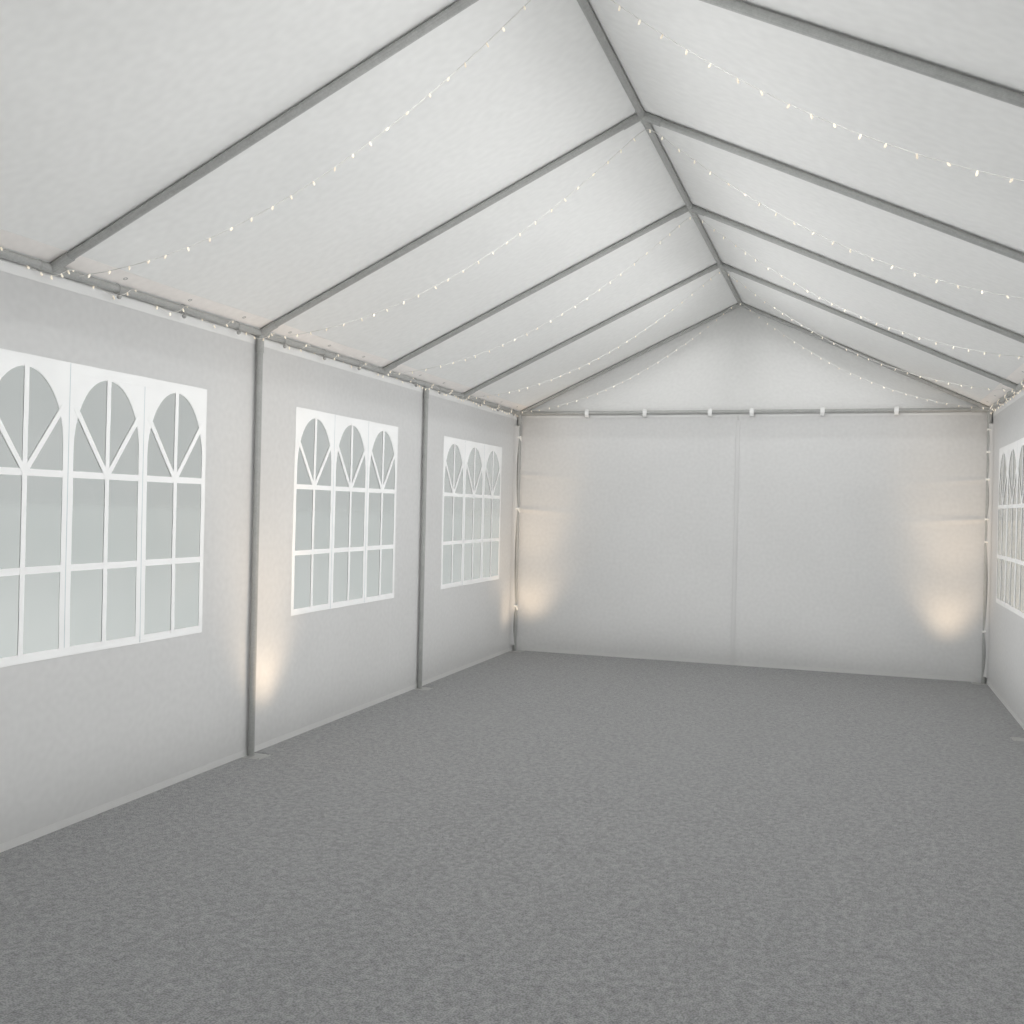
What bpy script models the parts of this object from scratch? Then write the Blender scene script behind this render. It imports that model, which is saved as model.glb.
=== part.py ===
"""Frame marquee, 4 m by 8 m: steel tube frame, fabric roof, windowed side walls, open front.

Metres, +Z up. The origin is on the ground at the middle of the floor. +X is the right-hand side
and +Y the closed rear gable, as someone sees it who walks in through the open front.
"""

import math

import bmesh
import bpy
from mathutils import Matrix, Vector

# Overall frame, measured between tube centres
WIDTH = 4.0
LENGTH = 8.0
EAVE_HEIGHT = 2.2
RIDGE_RISE = 0.93
POST_BAYS = 4
RAFTER_BAYS = 6

# Steel tube and the connector sockets that hold it
TUBE_R = 0.016
TUBE_SIDES = 12
FIT_GAP = 0.0003
SOCKET_WALL = 0.003
SLEEVE_STEP = 0.0008
SHOULDER = 0.006
POST_SOCKET_REACH = 0.10
RAFTER_SOCKET_GRIP = 0.012
TIE_SOCKET_GRIP = 0.05
CORNER_CLEARANCE = 0.002
SLEEVE_HALF = 0.06
BEAM_END = 0.002

# Foot plates
FOOT_SIDE = 0.11
FOOT_T = 0.004

# Fabric: modelled a little thicker than the cloth, as plain closed solids
WALL_T = 0.008
ROOF_T = 0.008
GABLE_T = 0.008
FILM_T = 0.003
WALL_LIFT = 0.004
VALANCE_DROP = 0.22

# Windows: three arched lights in a group, one group in each post bay
LIGHTS = 3
LIGHT_PITCH = 0.413
LIGHT_WIDTH = 0.36
GROUP_DROP = 0.34
GROUP_HEIGHT = 1.17
RAIL_BOTTOM = 0.035
RAIL_TOP = 0.045
ARCH_RISE = 0.29
ARCH_STEPS = 12

# Front wall halves, drawn aside and bunched at the corner posts
CURTAIN_TOP_WIDTH = 0.46
CURTAIN_TIE_WIDTH = 0.20
CURTAIN_FOOT_WIDTH = 0.34
CURTAIN_TIE_HEIGHT = 1.15
CURTAIN_TOP_DEPTH = 0.036
CURTAIN_SWELL = 0.23
CURTAIN_DEPTH = 0.11
CURTAIN_INSET = 0.015
CURTAIN_LIFT = 0.012
CURTAIN_SIDES = 16
CURTAIN_RINGS = 12

# Floor covering
CARPET_T = 0.005
NOTCH_GAP = 0.003

# Light strings: one hangs beside each pair of rafters, from eave to ridge to eave
STRING_R = 0.0015
STRING_SAG = 0.20
STRING_OFFSET = 0.12
STRING_CROWN = 0.03
STRING_STEPS = 12
STRING_BIAS = 1.6

# Values worked out from the sizes above
HALF_W = WIDTH / 2
HALF_L = LENGTH / 2
RIDGE_HEIGHT = EAVE_HEIGHT + RIDGE_RISE
SLOPE = math.atan2(RIDGE_RISE, HALF_W)
RAFTER_SPAN = math.hypot(HALF_W, RIDGE_RISE)
BORE_R = TUBE_R + FIT_GAP
SOCKET_R = BORE_R + SOCKET_WALL
SLEEVE_R = SOCKET_R - SLEEVE_STEP
SEAT = TUBE_R + SHOULDER
CORNER_REACH = (TUBE_R + SOCKET_R + CORNER_CLEARANCE) / math.sin(SLOPE)
RAFTER_SOCKET_REACH = CORNER_REACH + RAFTER_SOCKET_GRIP
TIE_SOCKET_REACH = CORNER_REACH + TIE_SOCKET_GRIP
FRAME_OUT = SOCKET_R + BEAM_END
WALL_IN_X = HALF_W + FRAME_OUT + FIT_GAP
WALL_OUT_X = WALL_IN_X + WALL_T
REAR_IN_Y = HALF_L + FRAME_OUT + FIT_GAP
REAR_OUT_Y = REAR_IN_Y + WALL_T
GABLE_IN_Y = REAR_OUT_Y + FIT_GAP
GABLE_OUT_Y = GABLE_IN_Y + GABLE_T
VALANCE_IN_X = WALL_OUT_X + FIT_GAP
VALANCE_OUT_X = VALANCE_IN_X + ROOF_T
VALANCE_BOTTOM = EAVE_HEIGHT - VALANCE_DROP
ROOF_OFFSET = (SOCKET_R + FIT_GAP) / math.cos(SLOPE)
GROUP_TOP = EAVE_HEIGHT - GROUP_DROP
GROUP_BOTTOM = GROUP_TOP - GROUP_HEIGHT

POST_STATIONS = [-HALF_L + LENGTH * i / POST_BAYS for i in range(POST_BAYS + 1)]
RAFTER_STATIONS = [-HALF_L + LENGTH * i / RAFTER_BAYS for i in range(RAFTER_BAYS + 1)]
SIDES = (("left", -1), ("right", 1))


def clear_scene():
    """Remove whatever objects the file holds."""
    for item in list(bpy.data.objects):
        bpy.data.objects.remove(item, do_unlink=True)


def finish_material(name, colour, roughness, metallic=0.0, transmission=0.0):
    """A Principled material in one plain colour."""
    material = bpy.data.materials.new(name)
    material.use_nodes = True
    shader = material.node_tree.nodes["Principled BSDF"]
    shader.inputs["Base Color"].default_value = (*colour, 1.0)
    shader.inputs["Roughness"].default_value = roughness
    shader.inputs["Metallic"].default_value = metallic
    shader.inputs["Transmission Weight"].default_value = transmission
    return material


def make_object(name, bm, material, smooth=False):
    """Turn a bmesh into a named object with its faces pointing out."""
    bmesh.ops.recalc_face_normals(bm, faces=bm.faces)
    mesh = bpy.data.meshes.new(name)
    bm.to_mesh(mesh)
    bm.free()
    if smooth:
        mesh.shade_smooth()
        mesh.set_sharp_from_angle(angle=math.radians(35))
    mesh.materials.append(material)
    item = bpy.data.objects.new(name, mesh)
    bpy.context.scene.collection.objects.link(item)
    return item


def add_rod(bm, start, end, radius):
    """Add a round bar between two points."""
    start = Vector(start)
    end = Vector(end)
    run = end - start
    turn = run.to_track_quat("Z", "Y").to_matrix().to_4x4()
    place = Matrix.Translation((start + end) / 2) @ turn
    bmesh.ops.create_cone(
        bm,
        cap_ends=True,
        segments=TUBE_SIDES,
        radius1=radius,
        radius2=radius,
        depth=run.length,
        matrix=place,
    )


def add_block(bm, low, high):
    """Add a box from its lowest and highest corners."""
    low = Vector(low)
    high = Vector(high)
    size = Matrix.Diagonal((*(high - low), 1.0))
    bmesh.ops.create_cube(bm, size=1.0, matrix=Matrix.Translation((low + high) / 2) @ size)


def add_prism(bm, outline, low, high, to_point):
    """Extrude an outline of (u, v) points from low to high; to_point(u, v, w) gives the place."""
    bottom = [bm.verts.new(to_point(u, v, low)) for u, v in outline]
    top = [bm.verts.new(to_point(u, v, high)) for u, v in outline]
    bm.faces.new(bottom)
    bm.faces.new(list(reversed(top)))
    for i in range(len(outline)):
        j = (i + 1) % len(outline)
        bm.faces.new((bottom[i], top[i], top[j], bottom[j]))


def bridge(bm, rings):
    """Close a run of like rings into one body."""
    bm.faces.new(rings[0])
    bm.faces.new(list(reversed(rings[-1])))
    for lower, upper in zip(rings, rings[1:]):
        for k in range(len(lower)):
            j = (k + 1) % len(lower)
            bm.faces.new((lower[k], upper[k], upper[j], lower[j]))


def in_profile(u, v, w):
    """An outline drawn across the tent, extruded along it."""
    return (u, w, v)


def in_side_wall(u, v, w):
    """An outline drawn along a side wall, extruded through it."""
    return (w, u, v)


def combine(target, tool, operation):
    """Join or cut the target with a guide shape that is not a part itself."""
    tool.hide_render = True
    tool.display_type = "WIRE"
    modifier = target.modifiers.new(tool.name, "BOOLEAN")
    modifier.operation = operation
    modifier.solver = "EXACT"
    modifier.object = tool


def rods_object(name, rods, radius, material):
    """One object holding a round bar for each (start, end) pair."""
    bm = bmesh.new()
    for start, end in rods:
        add_rod(bm, start, end, radius)
    return make_object(name, bm, material, smooth=True)


def along(origin, direction, reach):
    """The point a given reach from the origin in a direction."""
    return Vector(origin) + Vector(direction) * reach


def up_slope(side):
    """Unit direction from an eave up to the ridge."""
    return Vector((-side * math.cos(SLOPE), 0.0, math.sin(SLOPE)))


def add_sockets(beam, name, seats, direction, seat, reach, material):
    """Fuse sockets to a beam, and give the tool that bores each down to its seat."""
    solids = [(point, along(point, direction, reach)) for point in seats]
    beyond = reach + SOCKET_WALL
    bores = [(along(point, direction, seat), along(point, direction, beyond)) for point in seats]
    combine(beam, rods_object(name + "_socket", solids, SOCKET_R, material), "UNION")
    return rods_object(name + "_bore", bores, BORE_R, material)


def add_sleeves(beam, name, x, z, stations, material):
    """Fuse the short connector sleeves that stiffen a beam where other tubes meet it."""
    end = HALF_L + FRAME_OUT - BEAM_END / 2
    sleeves = []
    for y in stations:
        low = max(y - SLEEVE_HALF, -end)
        high = min(y + SLEEVE_HALF, end)
        sleeves.append(((x, low, z), (x, high, z)))
    combine(beam, rods_object(name + "_sleeve", sleeves, SLEEVE_R, material), "UNION")


def make_foot(name, x, y, side, material):
    """The plate under a post, set inwards so that the wall hangs clear of it."""
    out_x = x + side * FRAME_OUT
    in_x = out_x - side * FOOT_SIDE
    low_y = max(y - FOOT_SIDE / 2, -HALF_L - FRAME_OUT)
    high_y = min(low_y + FOOT_SIDE, HALF_L + FRAME_OUT)
    low_y = high_y - FOOT_SIDE
    bm = bmesh.new()
    add_block(bm, (min(out_x, in_x), low_y, 0.0), (max(out_x, in_x), high_y, FOOT_T))
    return make_object(name, bm, material)


def make_posts(material):
    """Five posts a side, each with its foot plate welded on."""
    for side_name, side in SIDES:
        for number, y in enumerate(POST_STATIONS, 1):
            x = side * HALF_W
            top = EAVE_HEIGHT - SEAT - FIT_GAP
            name = f"post_{side_name}_{number}"
            post = rods_object(name, [((x, y, FOOT_T / 2), (x, y, top))], TUBE_R, material)
            combine(post, make_foot(name + "_foot", x, y, side, material), "UNION")


def make_eave_beams(material):
    """The tubes along both eaves, with sockets for posts, rafters and the gable ties."""
    for side_name, side in SIDES:
        x = side * HALF_W
        end = HALF_L + FRAME_OUT
        name = f"eave_beam_{side_name}"
        beam = rods_object(
            name, [((x, -end, EAVE_HEIGHT), (x, end, EAVE_HEIGHT))], TUBE_R, material
        )
        stations = sorted(set(round(y, 6) for y in POST_STATIONS + RAFTER_STATIONS))
        add_sleeves(beam, name, x, EAVE_HEIGHT, stations, material)
        posts = [(x, y, EAVE_HEIGHT) for y in POST_STATIONS]
        rafters = [(x, y, EAVE_HEIGHT) for y in RAFTER_STATIONS]
        ties = [(x, y, EAVE_HEIGHT) for y in (-HALF_L, HALF_L)]
        inward = (-side, 0, 0)
        bores = [
            add_sockets(beam, name + "_post", posts, (0, 0, -1), SEAT, POST_SOCKET_REACH, material),
            add_sockets(
                beam, name + "_rafter", rafters, up_slope(side), SEAT, RAFTER_SOCKET_REACH, material
            ),
            add_sockets(
                beam, name + "_tie", ties, inward, CORNER_REACH, TIE_SOCKET_REACH, material
            ),
        ]
        for bore in bores:
            combine(beam, bore, "DIFFERENCE")


def add_elbow(bm, peak):
    """Add a bar bent over the ridge, from one socket's mouth up to the peak and down again."""
    rings = []
    for side in (-1, 0, 1):
        ring = []
        for k in range(TUBE_SIDES):
            angle = 2 * math.pi * k / TUBE_SIDES
            along_ridge = Vector((0.0, SOCKET_R * math.cos(angle), 0.0))
            outward = SOCKET_R * math.sin(angle)
            if side:
                normal = Vector((side * math.sin(SLOPE), 0.0, math.cos(SLOPE)))
                middle = along(peak, -up_slope(side), RAFTER_SOCKET_REACH)
                ring.append(bm.verts.new(middle + normal * outward + along_ridge))
            else:
                rise = Vector((0.0, 0.0, outward / math.cos(SLOPE)))
                ring.append(bm.verts.new(peak + rise + along_ridge))
        rings.append(ring)
    bridge(bm, rings)


def make_ridge_beam(material):
    """The tube under the roof's peak, with a pair of sockets for each pair of rafters."""
    end = HALF_L + FRAME_OUT
    line = ((0, -end, RIDGE_HEIGHT), (0, end, RIDGE_HEIGHT))
    beam = rods_object("ridge_beam", [line], TUBE_R, material)
    add_sleeves(beam, "ridge_beam", 0.0, RIDGE_HEIGHT, RAFTER_STATIONS, material)
    bm = bmesh.new()
    bores = []
    for y in RAFTER_STATIONS:
        peak = Vector((0.0, y, RIDGE_HEIGHT))
        add_elbow(bm, peak)
        for _, side in SIDES:
            down = -up_slope(side)
            mouth = along(peak, down, RAFTER_SOCKET_REACH + SOCKET_WALL)
            bores.append((along(peak, down, SEAT), mouth))
    combine(beam, make_object("ridge_beam_elbows", bm, material), "UNION")
    combine(beam, rods_object("ridge_beam_bores", bores, BORE_R, material), "DIFFERENCE")


def make_rafters(material):
    """A rafter each side at every rafter station, from eave socket to ridge socket."""
    for side_name, side in SIDES:
        for number, y in enumerate(RAFTER_STATIONS, 1):
            foot = Vector((side * HALF_W, y, EAVE_HEIGHT))
            direction = up_slope(side)
            start = along(foot, direction, SEAT + FIT_GAP)
            end = along(foot, direction, RAFTER_SPAN - SEAT - FIT_GAP)
            rods_object(f"rafter_{side_name}_{number}", [(start, end)], TUBE_R, material)


def make_ties(material):
    """The level tube across each gable."""
    reach = HALF_W - CORNER_REACH - FIT_GAP
    for name, y in (("front", -HALF_L), ("rear", HALF_L)):
        ends = ((-reach, y, EAVE_HEIGHT), (reach, y, EAVE_HEIGHT))
        rods_object(f"tie_beam_{name}", [ends], TUBE_R, material)


def roof_under(x):
    """Height of the roof fabric's underside at a distance across the tent."""
    return RIDGE_HEIGHT + ROOF_OFFSET - abs(x) * math.tan(SLOPE)


def roof_over(x):
    """Height of the roof fabric's upper face."""
    return roof_under(x) + ROOF_T / math.cos(SLOPE)


def make_roof(material):
    """The roof sheet, bent over both eaves into its side valances."""
    right_out = [(VALANCE_OUT_X, roof_over(VALANCE_OUT_X)), (VALANCE_OUT_X, VALANCE_BOTTOM)]
    right_in = [(VALANCE_IN_X, VALANCE_BOTTOM), (VALANCE_IN_X, roof_under(VALANCE_IN_X))]
    right = right_out + right_in
    left = [(-x, z) for x, z in reversed(right)]
    outline = [(0.0, roof_over(0.0))] + right + [(0.0, roof_under(0.0))] + left
    bm = bmesh.new()
    add_prism(bm, outline, -GABLE_OUT_Y, GABLE_OUT_Y, in_profile)
    make_object("roof_cover", bm, material)


def make_gables(material):
    """The gable panels, each hanging a valance's depth below the eaves."""
    edge = roof_under(WALL_OUT_X) - FIT_GAP
    outline = [
        (-WALL_OUT_X, VALANCE_BOTTOM),
        (WALL_OUT_X, VALANCE_BOTTOM),
        (WALL_OUT_X, edge),
        (0.0, roof_under(0.0) - FIT_GAP),
        (-WALL_OUT_X, edge),
    ]
    for name, low, high in (
        ("front", -GABLE_OUT_Y, -GABLE_IN_Y),
        ("rear", GABLE_IN_Y, GABLE_OUT_Y),
    ):
        bm = bmesh.new()
        add_prism(bm, outline, low, high, in_profile)
        make_object(f"gable_panel_{name}", bm, material)


def group_centres():
    """The middle of the window group in each post bay, along the tent."""
    return [(a + b) / 2 for a, b in zip(POST_STATIONS, POST_STATIONS[1:])]


def light_outline(centre):
    """One arched light: straight sides under a half ellipse."""
    half = LIGHT_WIDTH / 2
    bottom = GROUP_BOTTOM + RAIL_BOTTOM
    spring = GROUP_TOP - RAIL_TOP - ARCH_RISE
    points = [(centre - half, bottom), (centre + half, bottom)]
    for i in range(ARCH_STEPS + 1):
        angle = math.pi * i / ARCH_STEPS
        points.append((centre + half * math.cos(angle), spring + ARCH_RISE * math.sin(angle)))
    return points


def make_side_walls(material):
    """Two wall panels a side, joined over the middle post, with the arched lights cut through."""
    top = roof_under(WALL_OUT_X) - FIT_GAP
    end = HALF_L + FRAME_OUT
    joints = ((-end, -FIT_GAP / 2, "front"), (FIT_GAP / 2, end, "rear"))
    for side_name, side in SIDES:
        low_x = min(side * WALL_IN_X, side * WALL_OUT_X)
        high_x = max(side * WALL_IN_X, side * WALL_OUT_X)
        for low_y, high_y, part in joints:
            name = f"side_wall_{side_name}_{part}"
            bm = bmesh.new()
            add_block(bm, (low_x, low_y, WALL_LIFT), (high_x, high_y, top))
            wall = make_object(name, bm, material)
            bm = bmesh.new()
            for centre in group_centres():
                if low_y < centre < high_y:
                    for i in range(LIGHTS):
                        light = centre + (i - (LIGHTS - 1) / 2) * LIGHT_PITCH
                        outline = light_outline(light)
                        add_prism(bm, outline, low_x - WALL_T, high_x + WALL_T, in_side_wall)
            combine(wall, make_object(name + "_lights", bm, material), "DIFFERENCE")


def make_windows(material):
    """A clear sheet over each group of lights, welded to the wall's outer face."""
    half = LIGHTS * LIGHT_PITCH / 2
    for side_name, side in SIDES:
        near = side * (WALL_OUT_X + FIT_GAP)
        far = near + side * FILM_T
        for number, centre in enumerate(group_centres(), 1):
            bm = bmesh.new()
            add_block(
                bm,
                (min(near, far), centre - half, GROUP_BOTTOM),
                (max(near, far), centre + half, GROUP_TOP),
            )
            make_object(f"window_{side_name}_{number}", bm, material)


def make_rear_walls(material):
    """The two halves of the rear wall, which meet at the zip."""
    top = roof_under(WALL_OUT_X) - FIT_GAP
    for side_name, side in SIDES:
        inner = side * FIT_GAP / 2
        outer = side * WALL_OUT_X
        bm = bmesh.new()
        add_block(
            bm,
            (min(inner, outer), REAR_IN_Y, WALL_LIFT),
            (max(inner, outer), REAR_OUT_Y, top),
        )
        make_object(f"rear_wall_{side_name}", bm, material)


def eased(low, high, share):
    """A smooth step from one value to another."""
    share = min(max(share, 0.0), 1.0)
    return low + (high - low) * share * share * (3 - 2 * share)


def curtain_width(z, bottom, top):
    """Width of the bunched wall at a height: wide at the tie beam, drawn in at its tie-back."""
    if z > CURTAIN_TIE_HEIGHT:
        share = (z - CURTAIN_TIE_HEIGHT) / (top - CURTAIN_TIE_HEIGHT)
        return eased(CURTAIN_TIE_WIDTH, CURTAIN_TOP_WIDTH, share)
    share = (CURTAIN_TIE_HEIGHT - z) / (CURTAIN_TIE_HEIGHT - bottom)
    return eased(CURTAIN_TIE_WIDTH, CURTAIN_FOOT_WIDTH, share)


def make_front_curtains(material):
    """The front wall's halves, bunched against the corner posts under the tie beam."""
    bottom = FOOT_T + CURTAIN_LIFT
    top = EAVE_HEIGHT - SOCKET_R - FIT_GAP
    post_side = HALF_W - SOCKET_R - FIT_GAP
    for side_name, side in SIDES:
        bm = bmesh.new()
        rings = []
        for i in range(CURTAIN_RINGS + 1):
            z = bottom + (top - bottom) * i / CURTAIN_RINGS
            half = curtain_width(z, bottom, top) / 2
            thin = (z - VALANCE_BOTTOM + CURTAIN_SWELL) / CURTAIN_SWELL
            deep = eased(CURTAIN_DEPTH, CURTAIN_TOP_DEPTH, thin) / 2
            middle = side * (post_side - half)
            ring = []
            for k in range(CURTAIN_SIDES):
                angle = 2 * math.pi * k / CURTAIN_SIDES
                x = middle + half * math.cos(angle)
                y = -HALF_L + CURTAIN_INSET + deep * math.sin(angle)
                ring.append(bm.verts.new((x, y, z)))
            rings.append(ring)
        bridge(bm, rings)
        make_object(f"front_curtain_{side_name}", bm, material, smooth=True)


def make_carpet(material):
    """The carpet between the walls, cut out round every foot plate."""
    edge = WALL_IN_X - FIT_GAP
    rear = REAR_IN_Y - FIT_GAP
    front = -HALF_L - FRAME_OUT
    bm = bmesh.new()
    add_block(bm, (-edge, front, 0.0), (edge, rear, CARPET_T))
    carpet = make_object("floor_carpet", bm, material)
    bm = bmesh.new()
    for side in (-1, 1):
        for y in POST_STATIONS:
            low_y = max(y - FOOT_SIDE / 2, -HALF_L - FRAME_OUT)
            high_y = min(low_y + FOOT_SIDE, HALF_L + FRAME_OUT)
            low_y = high_y - FOOT_SIDE
            inner = side * (HALF_W + FRAME_OUT - FOOT_SIDE - NOTCH_GAP)
            outer = side * (edge + FOOT_SIDE)
            if y == POST_STATIONS[0]:
                low_y -= FOOT_SIDE
            if y == POST_STATIONS[-1]:
                high_y += FOOT_SIDE
            add_block(
                bm,
                (min(inner, outer), low_y - NOTCH_GAP, -CARPET_T),
                (max(inner, outer), high_y + NOTCH_GAP, 2 * CARPET_T),
            )
    combine(carpet, make_object("floor_carpet_notches", bm, material), "DIFFERENCE")


def string_point(share, y):
    """A point on a light string; share runs from -1 at the left eave to 1 at the right."""
    reach = HALF_W - TUBE_R - FIT_GAP
    peak = RIDGE_HEIGHT - TUBE_R - FIT_GAP - STRING_R
    x = math.copysign(abs(share) ** STRING_BIAS, share) * reach
    run = math.hypot(x, STRING_CROWN) - STRING_CROWN
    t = run / (math.hypot(reach, STRING_CROWN) - STRING_CROWN)
    z = peak + (EAVE_HEIGHT - peak) * t - 4 * STRING_SAG * t * (1 - t)
    return (x, y, z)


def make_light_strings(material):
    """The strings of small lights, each hooked over the ridge beam and tied off at the eaves."""
    for number, station in enumerate(RAFTER_STATIONS, 1):
        inward = -1 if station == RAFTER_STATIONS[-1] else 1
        y = station + inward * STRING_OFFSET
        name = f"light_string_{number}"
        curve = bpy.data.curves.new(name, "CURVE")
        curve.dimensions = "3D"
        curve.bevel_depth = STRING_R
        curve.bevel_resolution = 2
        curve.use_fill_caps = True
        line = curve.splines.new("POLY")
        count = 2 * STRING_STEPS + 1
        line.points.add(count - 1)
        for i in range(count):
            line.points[i].co = (*string_point((i - STRING_STEPS) / STRING_STEPS, y), 1.0)
        curve.materials.append(material)
        item = bpy.data.objects.new(name, curve)
        bpy.context.scene.collection.objects.link(item)


def build():
    """Make the whole marquee."""
    clear_scene()
    steel = finish_material("galvanised_steel", (0.36, 0.37, 0.36), 0.42, metallic=0.85)
    roof_cloth = finish_material("roof_cloth", (0.80, 0.80, 0.79), 0.62)
    wall_cloth = finish_material("wall_cloth", (0.74, 0.74, 0.74), 0.62)
    film = finish_material("clear_film", (0.86, 0.90, 0.88), 0.08, transmission=0.9)
    carpet = finish_material("carpet", (0.22, 0.24, 0.25), 0.95)
    wire = finish_material("string_wire", (0.78, 0.77, 0.72), 0.5)
    make_posts(steel)
    make_eave_beams(steel)
    make_ridge_beam(steel)
    make_rafters(steel)
    make_ties(steel)
    make_roof(roof_cloth)
    make_gables(roof_cloth)
    make_side_walls(wall_cloth)
    make_windows(film)
    make_rear_walls(wall_cloth)
    make_front_curtains(wall_cloth)
    make_carpet(carpet)
    make_light_strings(wire)


build()
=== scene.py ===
import math
import random

import bmesh
import bpy
from mathutils import Matrix, Vector, noise


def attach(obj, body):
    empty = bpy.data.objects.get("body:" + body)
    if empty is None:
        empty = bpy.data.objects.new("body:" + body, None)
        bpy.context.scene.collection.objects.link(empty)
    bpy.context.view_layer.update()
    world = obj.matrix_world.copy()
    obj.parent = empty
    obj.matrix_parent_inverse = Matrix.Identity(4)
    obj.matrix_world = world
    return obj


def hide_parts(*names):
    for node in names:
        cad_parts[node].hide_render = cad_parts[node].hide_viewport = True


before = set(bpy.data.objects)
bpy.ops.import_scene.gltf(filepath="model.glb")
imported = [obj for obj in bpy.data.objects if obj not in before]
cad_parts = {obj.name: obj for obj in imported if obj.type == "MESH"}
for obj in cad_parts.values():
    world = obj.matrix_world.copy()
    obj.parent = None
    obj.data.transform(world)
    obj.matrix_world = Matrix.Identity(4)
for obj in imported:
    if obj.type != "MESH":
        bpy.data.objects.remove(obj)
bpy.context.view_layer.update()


# Camera: it stands just outside the open front, a little right of the middle, at standing height,
# and looks down the tent towards the left half of the closed rear.
camera_place = Vector((0.956, -4.205, 1.320))
camera_yaw = math.radians(17.05)
camera_pitch = math.radians(-0.15)
camera_roll = math.radians(1.31)
bpy.ops.object.camera_add()
camera = bpy.context.object
camera.name = "Camera"
camera.matrix_world = (
    Matrix.Translation(camera_place)
    @ Matrix.Rotation(camera_yaw, 4, "Z")
    @ Matrix.Rotation(math.pi / 2 + camera_pitch, 4, "X")
    @ Matrix.Rotation(camera_roll, 4, "Z")
)
camera.data.sensor_width = 36.0
camera.data.lens = 33.05
camera.data.shift_x = -0.0498
camera.data.clip_start = 0.02
bpy.context.scene.camera = camera


# Light strings: one thin insulated wire hangs beside each pair of rafters, hooked over the ridge
# tube at its middle and tied off at both eaves, with a small warm lamp about every 9 cm.
half_width = 2.0
half_length = 4.0
eave_height = 2.2
ridge_height = 3.13
slope = math.atan2(ridge_height - eave_height, half_width)
tube_radius = 0.016
fit_gap = 0.0003
wire_radius = 0.0015
string_sag = 0.20
bays = 6
rafter_rows = [-half_length + half_length * 2 * i / bays for i in range(bays + 1)]


def clear_selection():
    """Leave edit mode and let go of everything."""
    if bpy.context.object is not None and bpy.context.object.mode != "OBJECT":
        bpy.ops.object.mode_set(mode="OBJECT")
    bpy.ops.object.select_all(action="DESELECT")


def pick(piece):
    """Select one piece alone and make it active."""
    clear_selection()
    piece.select_set(True)
    bpy.context.view_layer.objects.active = piece


def put_in_scene(name, data):
    """A new object for a mesh, a curve or a light."""
    piece = bpy.data.objects.new(name, data)
    bpy.context.scene.collection.objects.link(piece)
    return piece


def fit_out(piece, name, slot, *materials):
    """Name a finished piece, give it its finishes and hang it on the frame."""
    piece.name = piece.data.name = name
    piece.data.materials.clear()
    for material in materials:
        piece.data.materials.append(material)
    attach(piece, "root")
    return piece


def feed(socket, value):
    """Link another socket to this one or give it a plain value; None leaves it alone."""
    if isinstance(value, bpy.types.NodeSocket):
        socket.id_data.links.new(value, socket)
    elif value is not None:
        socket.default_value = value


def feed_all(node, values):
    """Feed a node's inputs by name; underscores stand for spaces."""
    for title, value in values.items():
        feed(node.inputs[title.replace("_", " ")], value)
    return node


def add_node(nodes, kind, **values):
    """A shader node with its inputs fed."""
    return feed_all(nodes.new("ShaderNode" + kind), values)


def add_group(nodes, group, **values):
    """A node group with its inputs fed."""
    node = nodes.new("ShaderNodeGroup")
    node.node_tree = group
    return feed_all(node, values)


def group_frame(name, inputs, outputs):
    """An empty node group with named sockets: (name, kind, value) in, (name, kind) out."""
    group = bpy.data.node_groups.new(name, "ShaderNodeTree")
    for title, kind, value in inputs:
        socket = group.interface.new_socket(title, in_out="INPUT", socket_type="NodeSocket" + kind)
        if value is not None:
            socket.default_value = value
    for title, kind in outputs:
        group.interface.new_socket(title, in_out="OUTPUT", socket_type="NodeSocket" + kind)
    return group, group.nodes, group.nodes.new("NodeGroupInput"), group.nodes.new("NodeGroupOutput")


def mix_colours(nodes, how, factor, first, second):
    """Two colours, or a colour and a number, mixed."""
    mix = nodes.new("ShaderNodeMix")
    mix.data_type = "RGBA"
    mix.blend_type = how
    feed(mix.inputs["Factor"], factor)
    feed(mix.inputs[6], first)
    feed(mix.inputs[7], second)
    return mix.outputs[2]


def build_mottle():
    """Uneven colour and a soft relief, as handling, dust and folding leave on most surfaces."""
    group, nodes, given, made = group_frame(
        "mottle",
        [
            ("Vector", "Vector", None),
            ("Size", "Float", 8.0),
            ("Light", "Color", (0.8, 0.8, 0.8, 1.0)),
            ("Dark", "Color", (0.6, 0.6, 0.6, 1.0)),
        ],
        [("Color", "Color"), ("Mask", "Float")],
    )
    cloud = add_node(
        nodes, "TexNoise", Vector=given.outputs["Vector"], Scale=given.outputs["Size"],
        Detail=2.0, Roughness=0.6,
    )
    spread = add_node(nodes, "MapRange", Value=cloud.outputs["Fac"], From_Min=0.3, From_Max=0.7)
    mask = spread.outputs["Result"]
    mixed = mix_colours(nodes, "MIX", mask, given.outputs["Dark"], given.outputs["Light"])
    feed_all(made, {"Color": mixed, "Mask": mask})
    return group


mottle = build_mottle()


def add_bump(nodes, height, strength, distance):
    """Feed a height into the shader's normal."""
    bump = add_node(nodes, "Bump", Strength=strength, Distance=distance, Height=height)
    feed(nodes["Principled BSDF"].inputs["Normal"], bump.outputs["Normal"])


def new_material(name, roughness, **values):
    """A Principled material with its inputs fed."""
    material = bpy.data.materials.new(name)
    material.use_nodes = True
    shader = material.node_tree.nodes["Principled BSDF"]
    shader.distribution = "GGX"
    feed_all(shader, {"Roughness": roughness, **values})
    return material, material.node_tree.nodes, shader


def mottled(name, roughness, size, light, dark, relief=None, **values):
    """A mottled material; relief is the strength and the depth of its bump."""
    material, nodes, shader = new_material(name, roughness, **values)
    place = nodes.new("ShaderNodeTexCoord")
    look = add_group(
        nodes, mottle, Vector=place.outputs["Object"], Size=size,
        Light=(*light, 1.0), Dark=(*dark, 1.0),
    )
    feed(shader.inputs["Base Color"], look.outputs["Color"])
    if relief is not None:
        add_bump(nodes, look.outputs["Mask"], *relief)
    return material, nodes, shader, place, look


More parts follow.
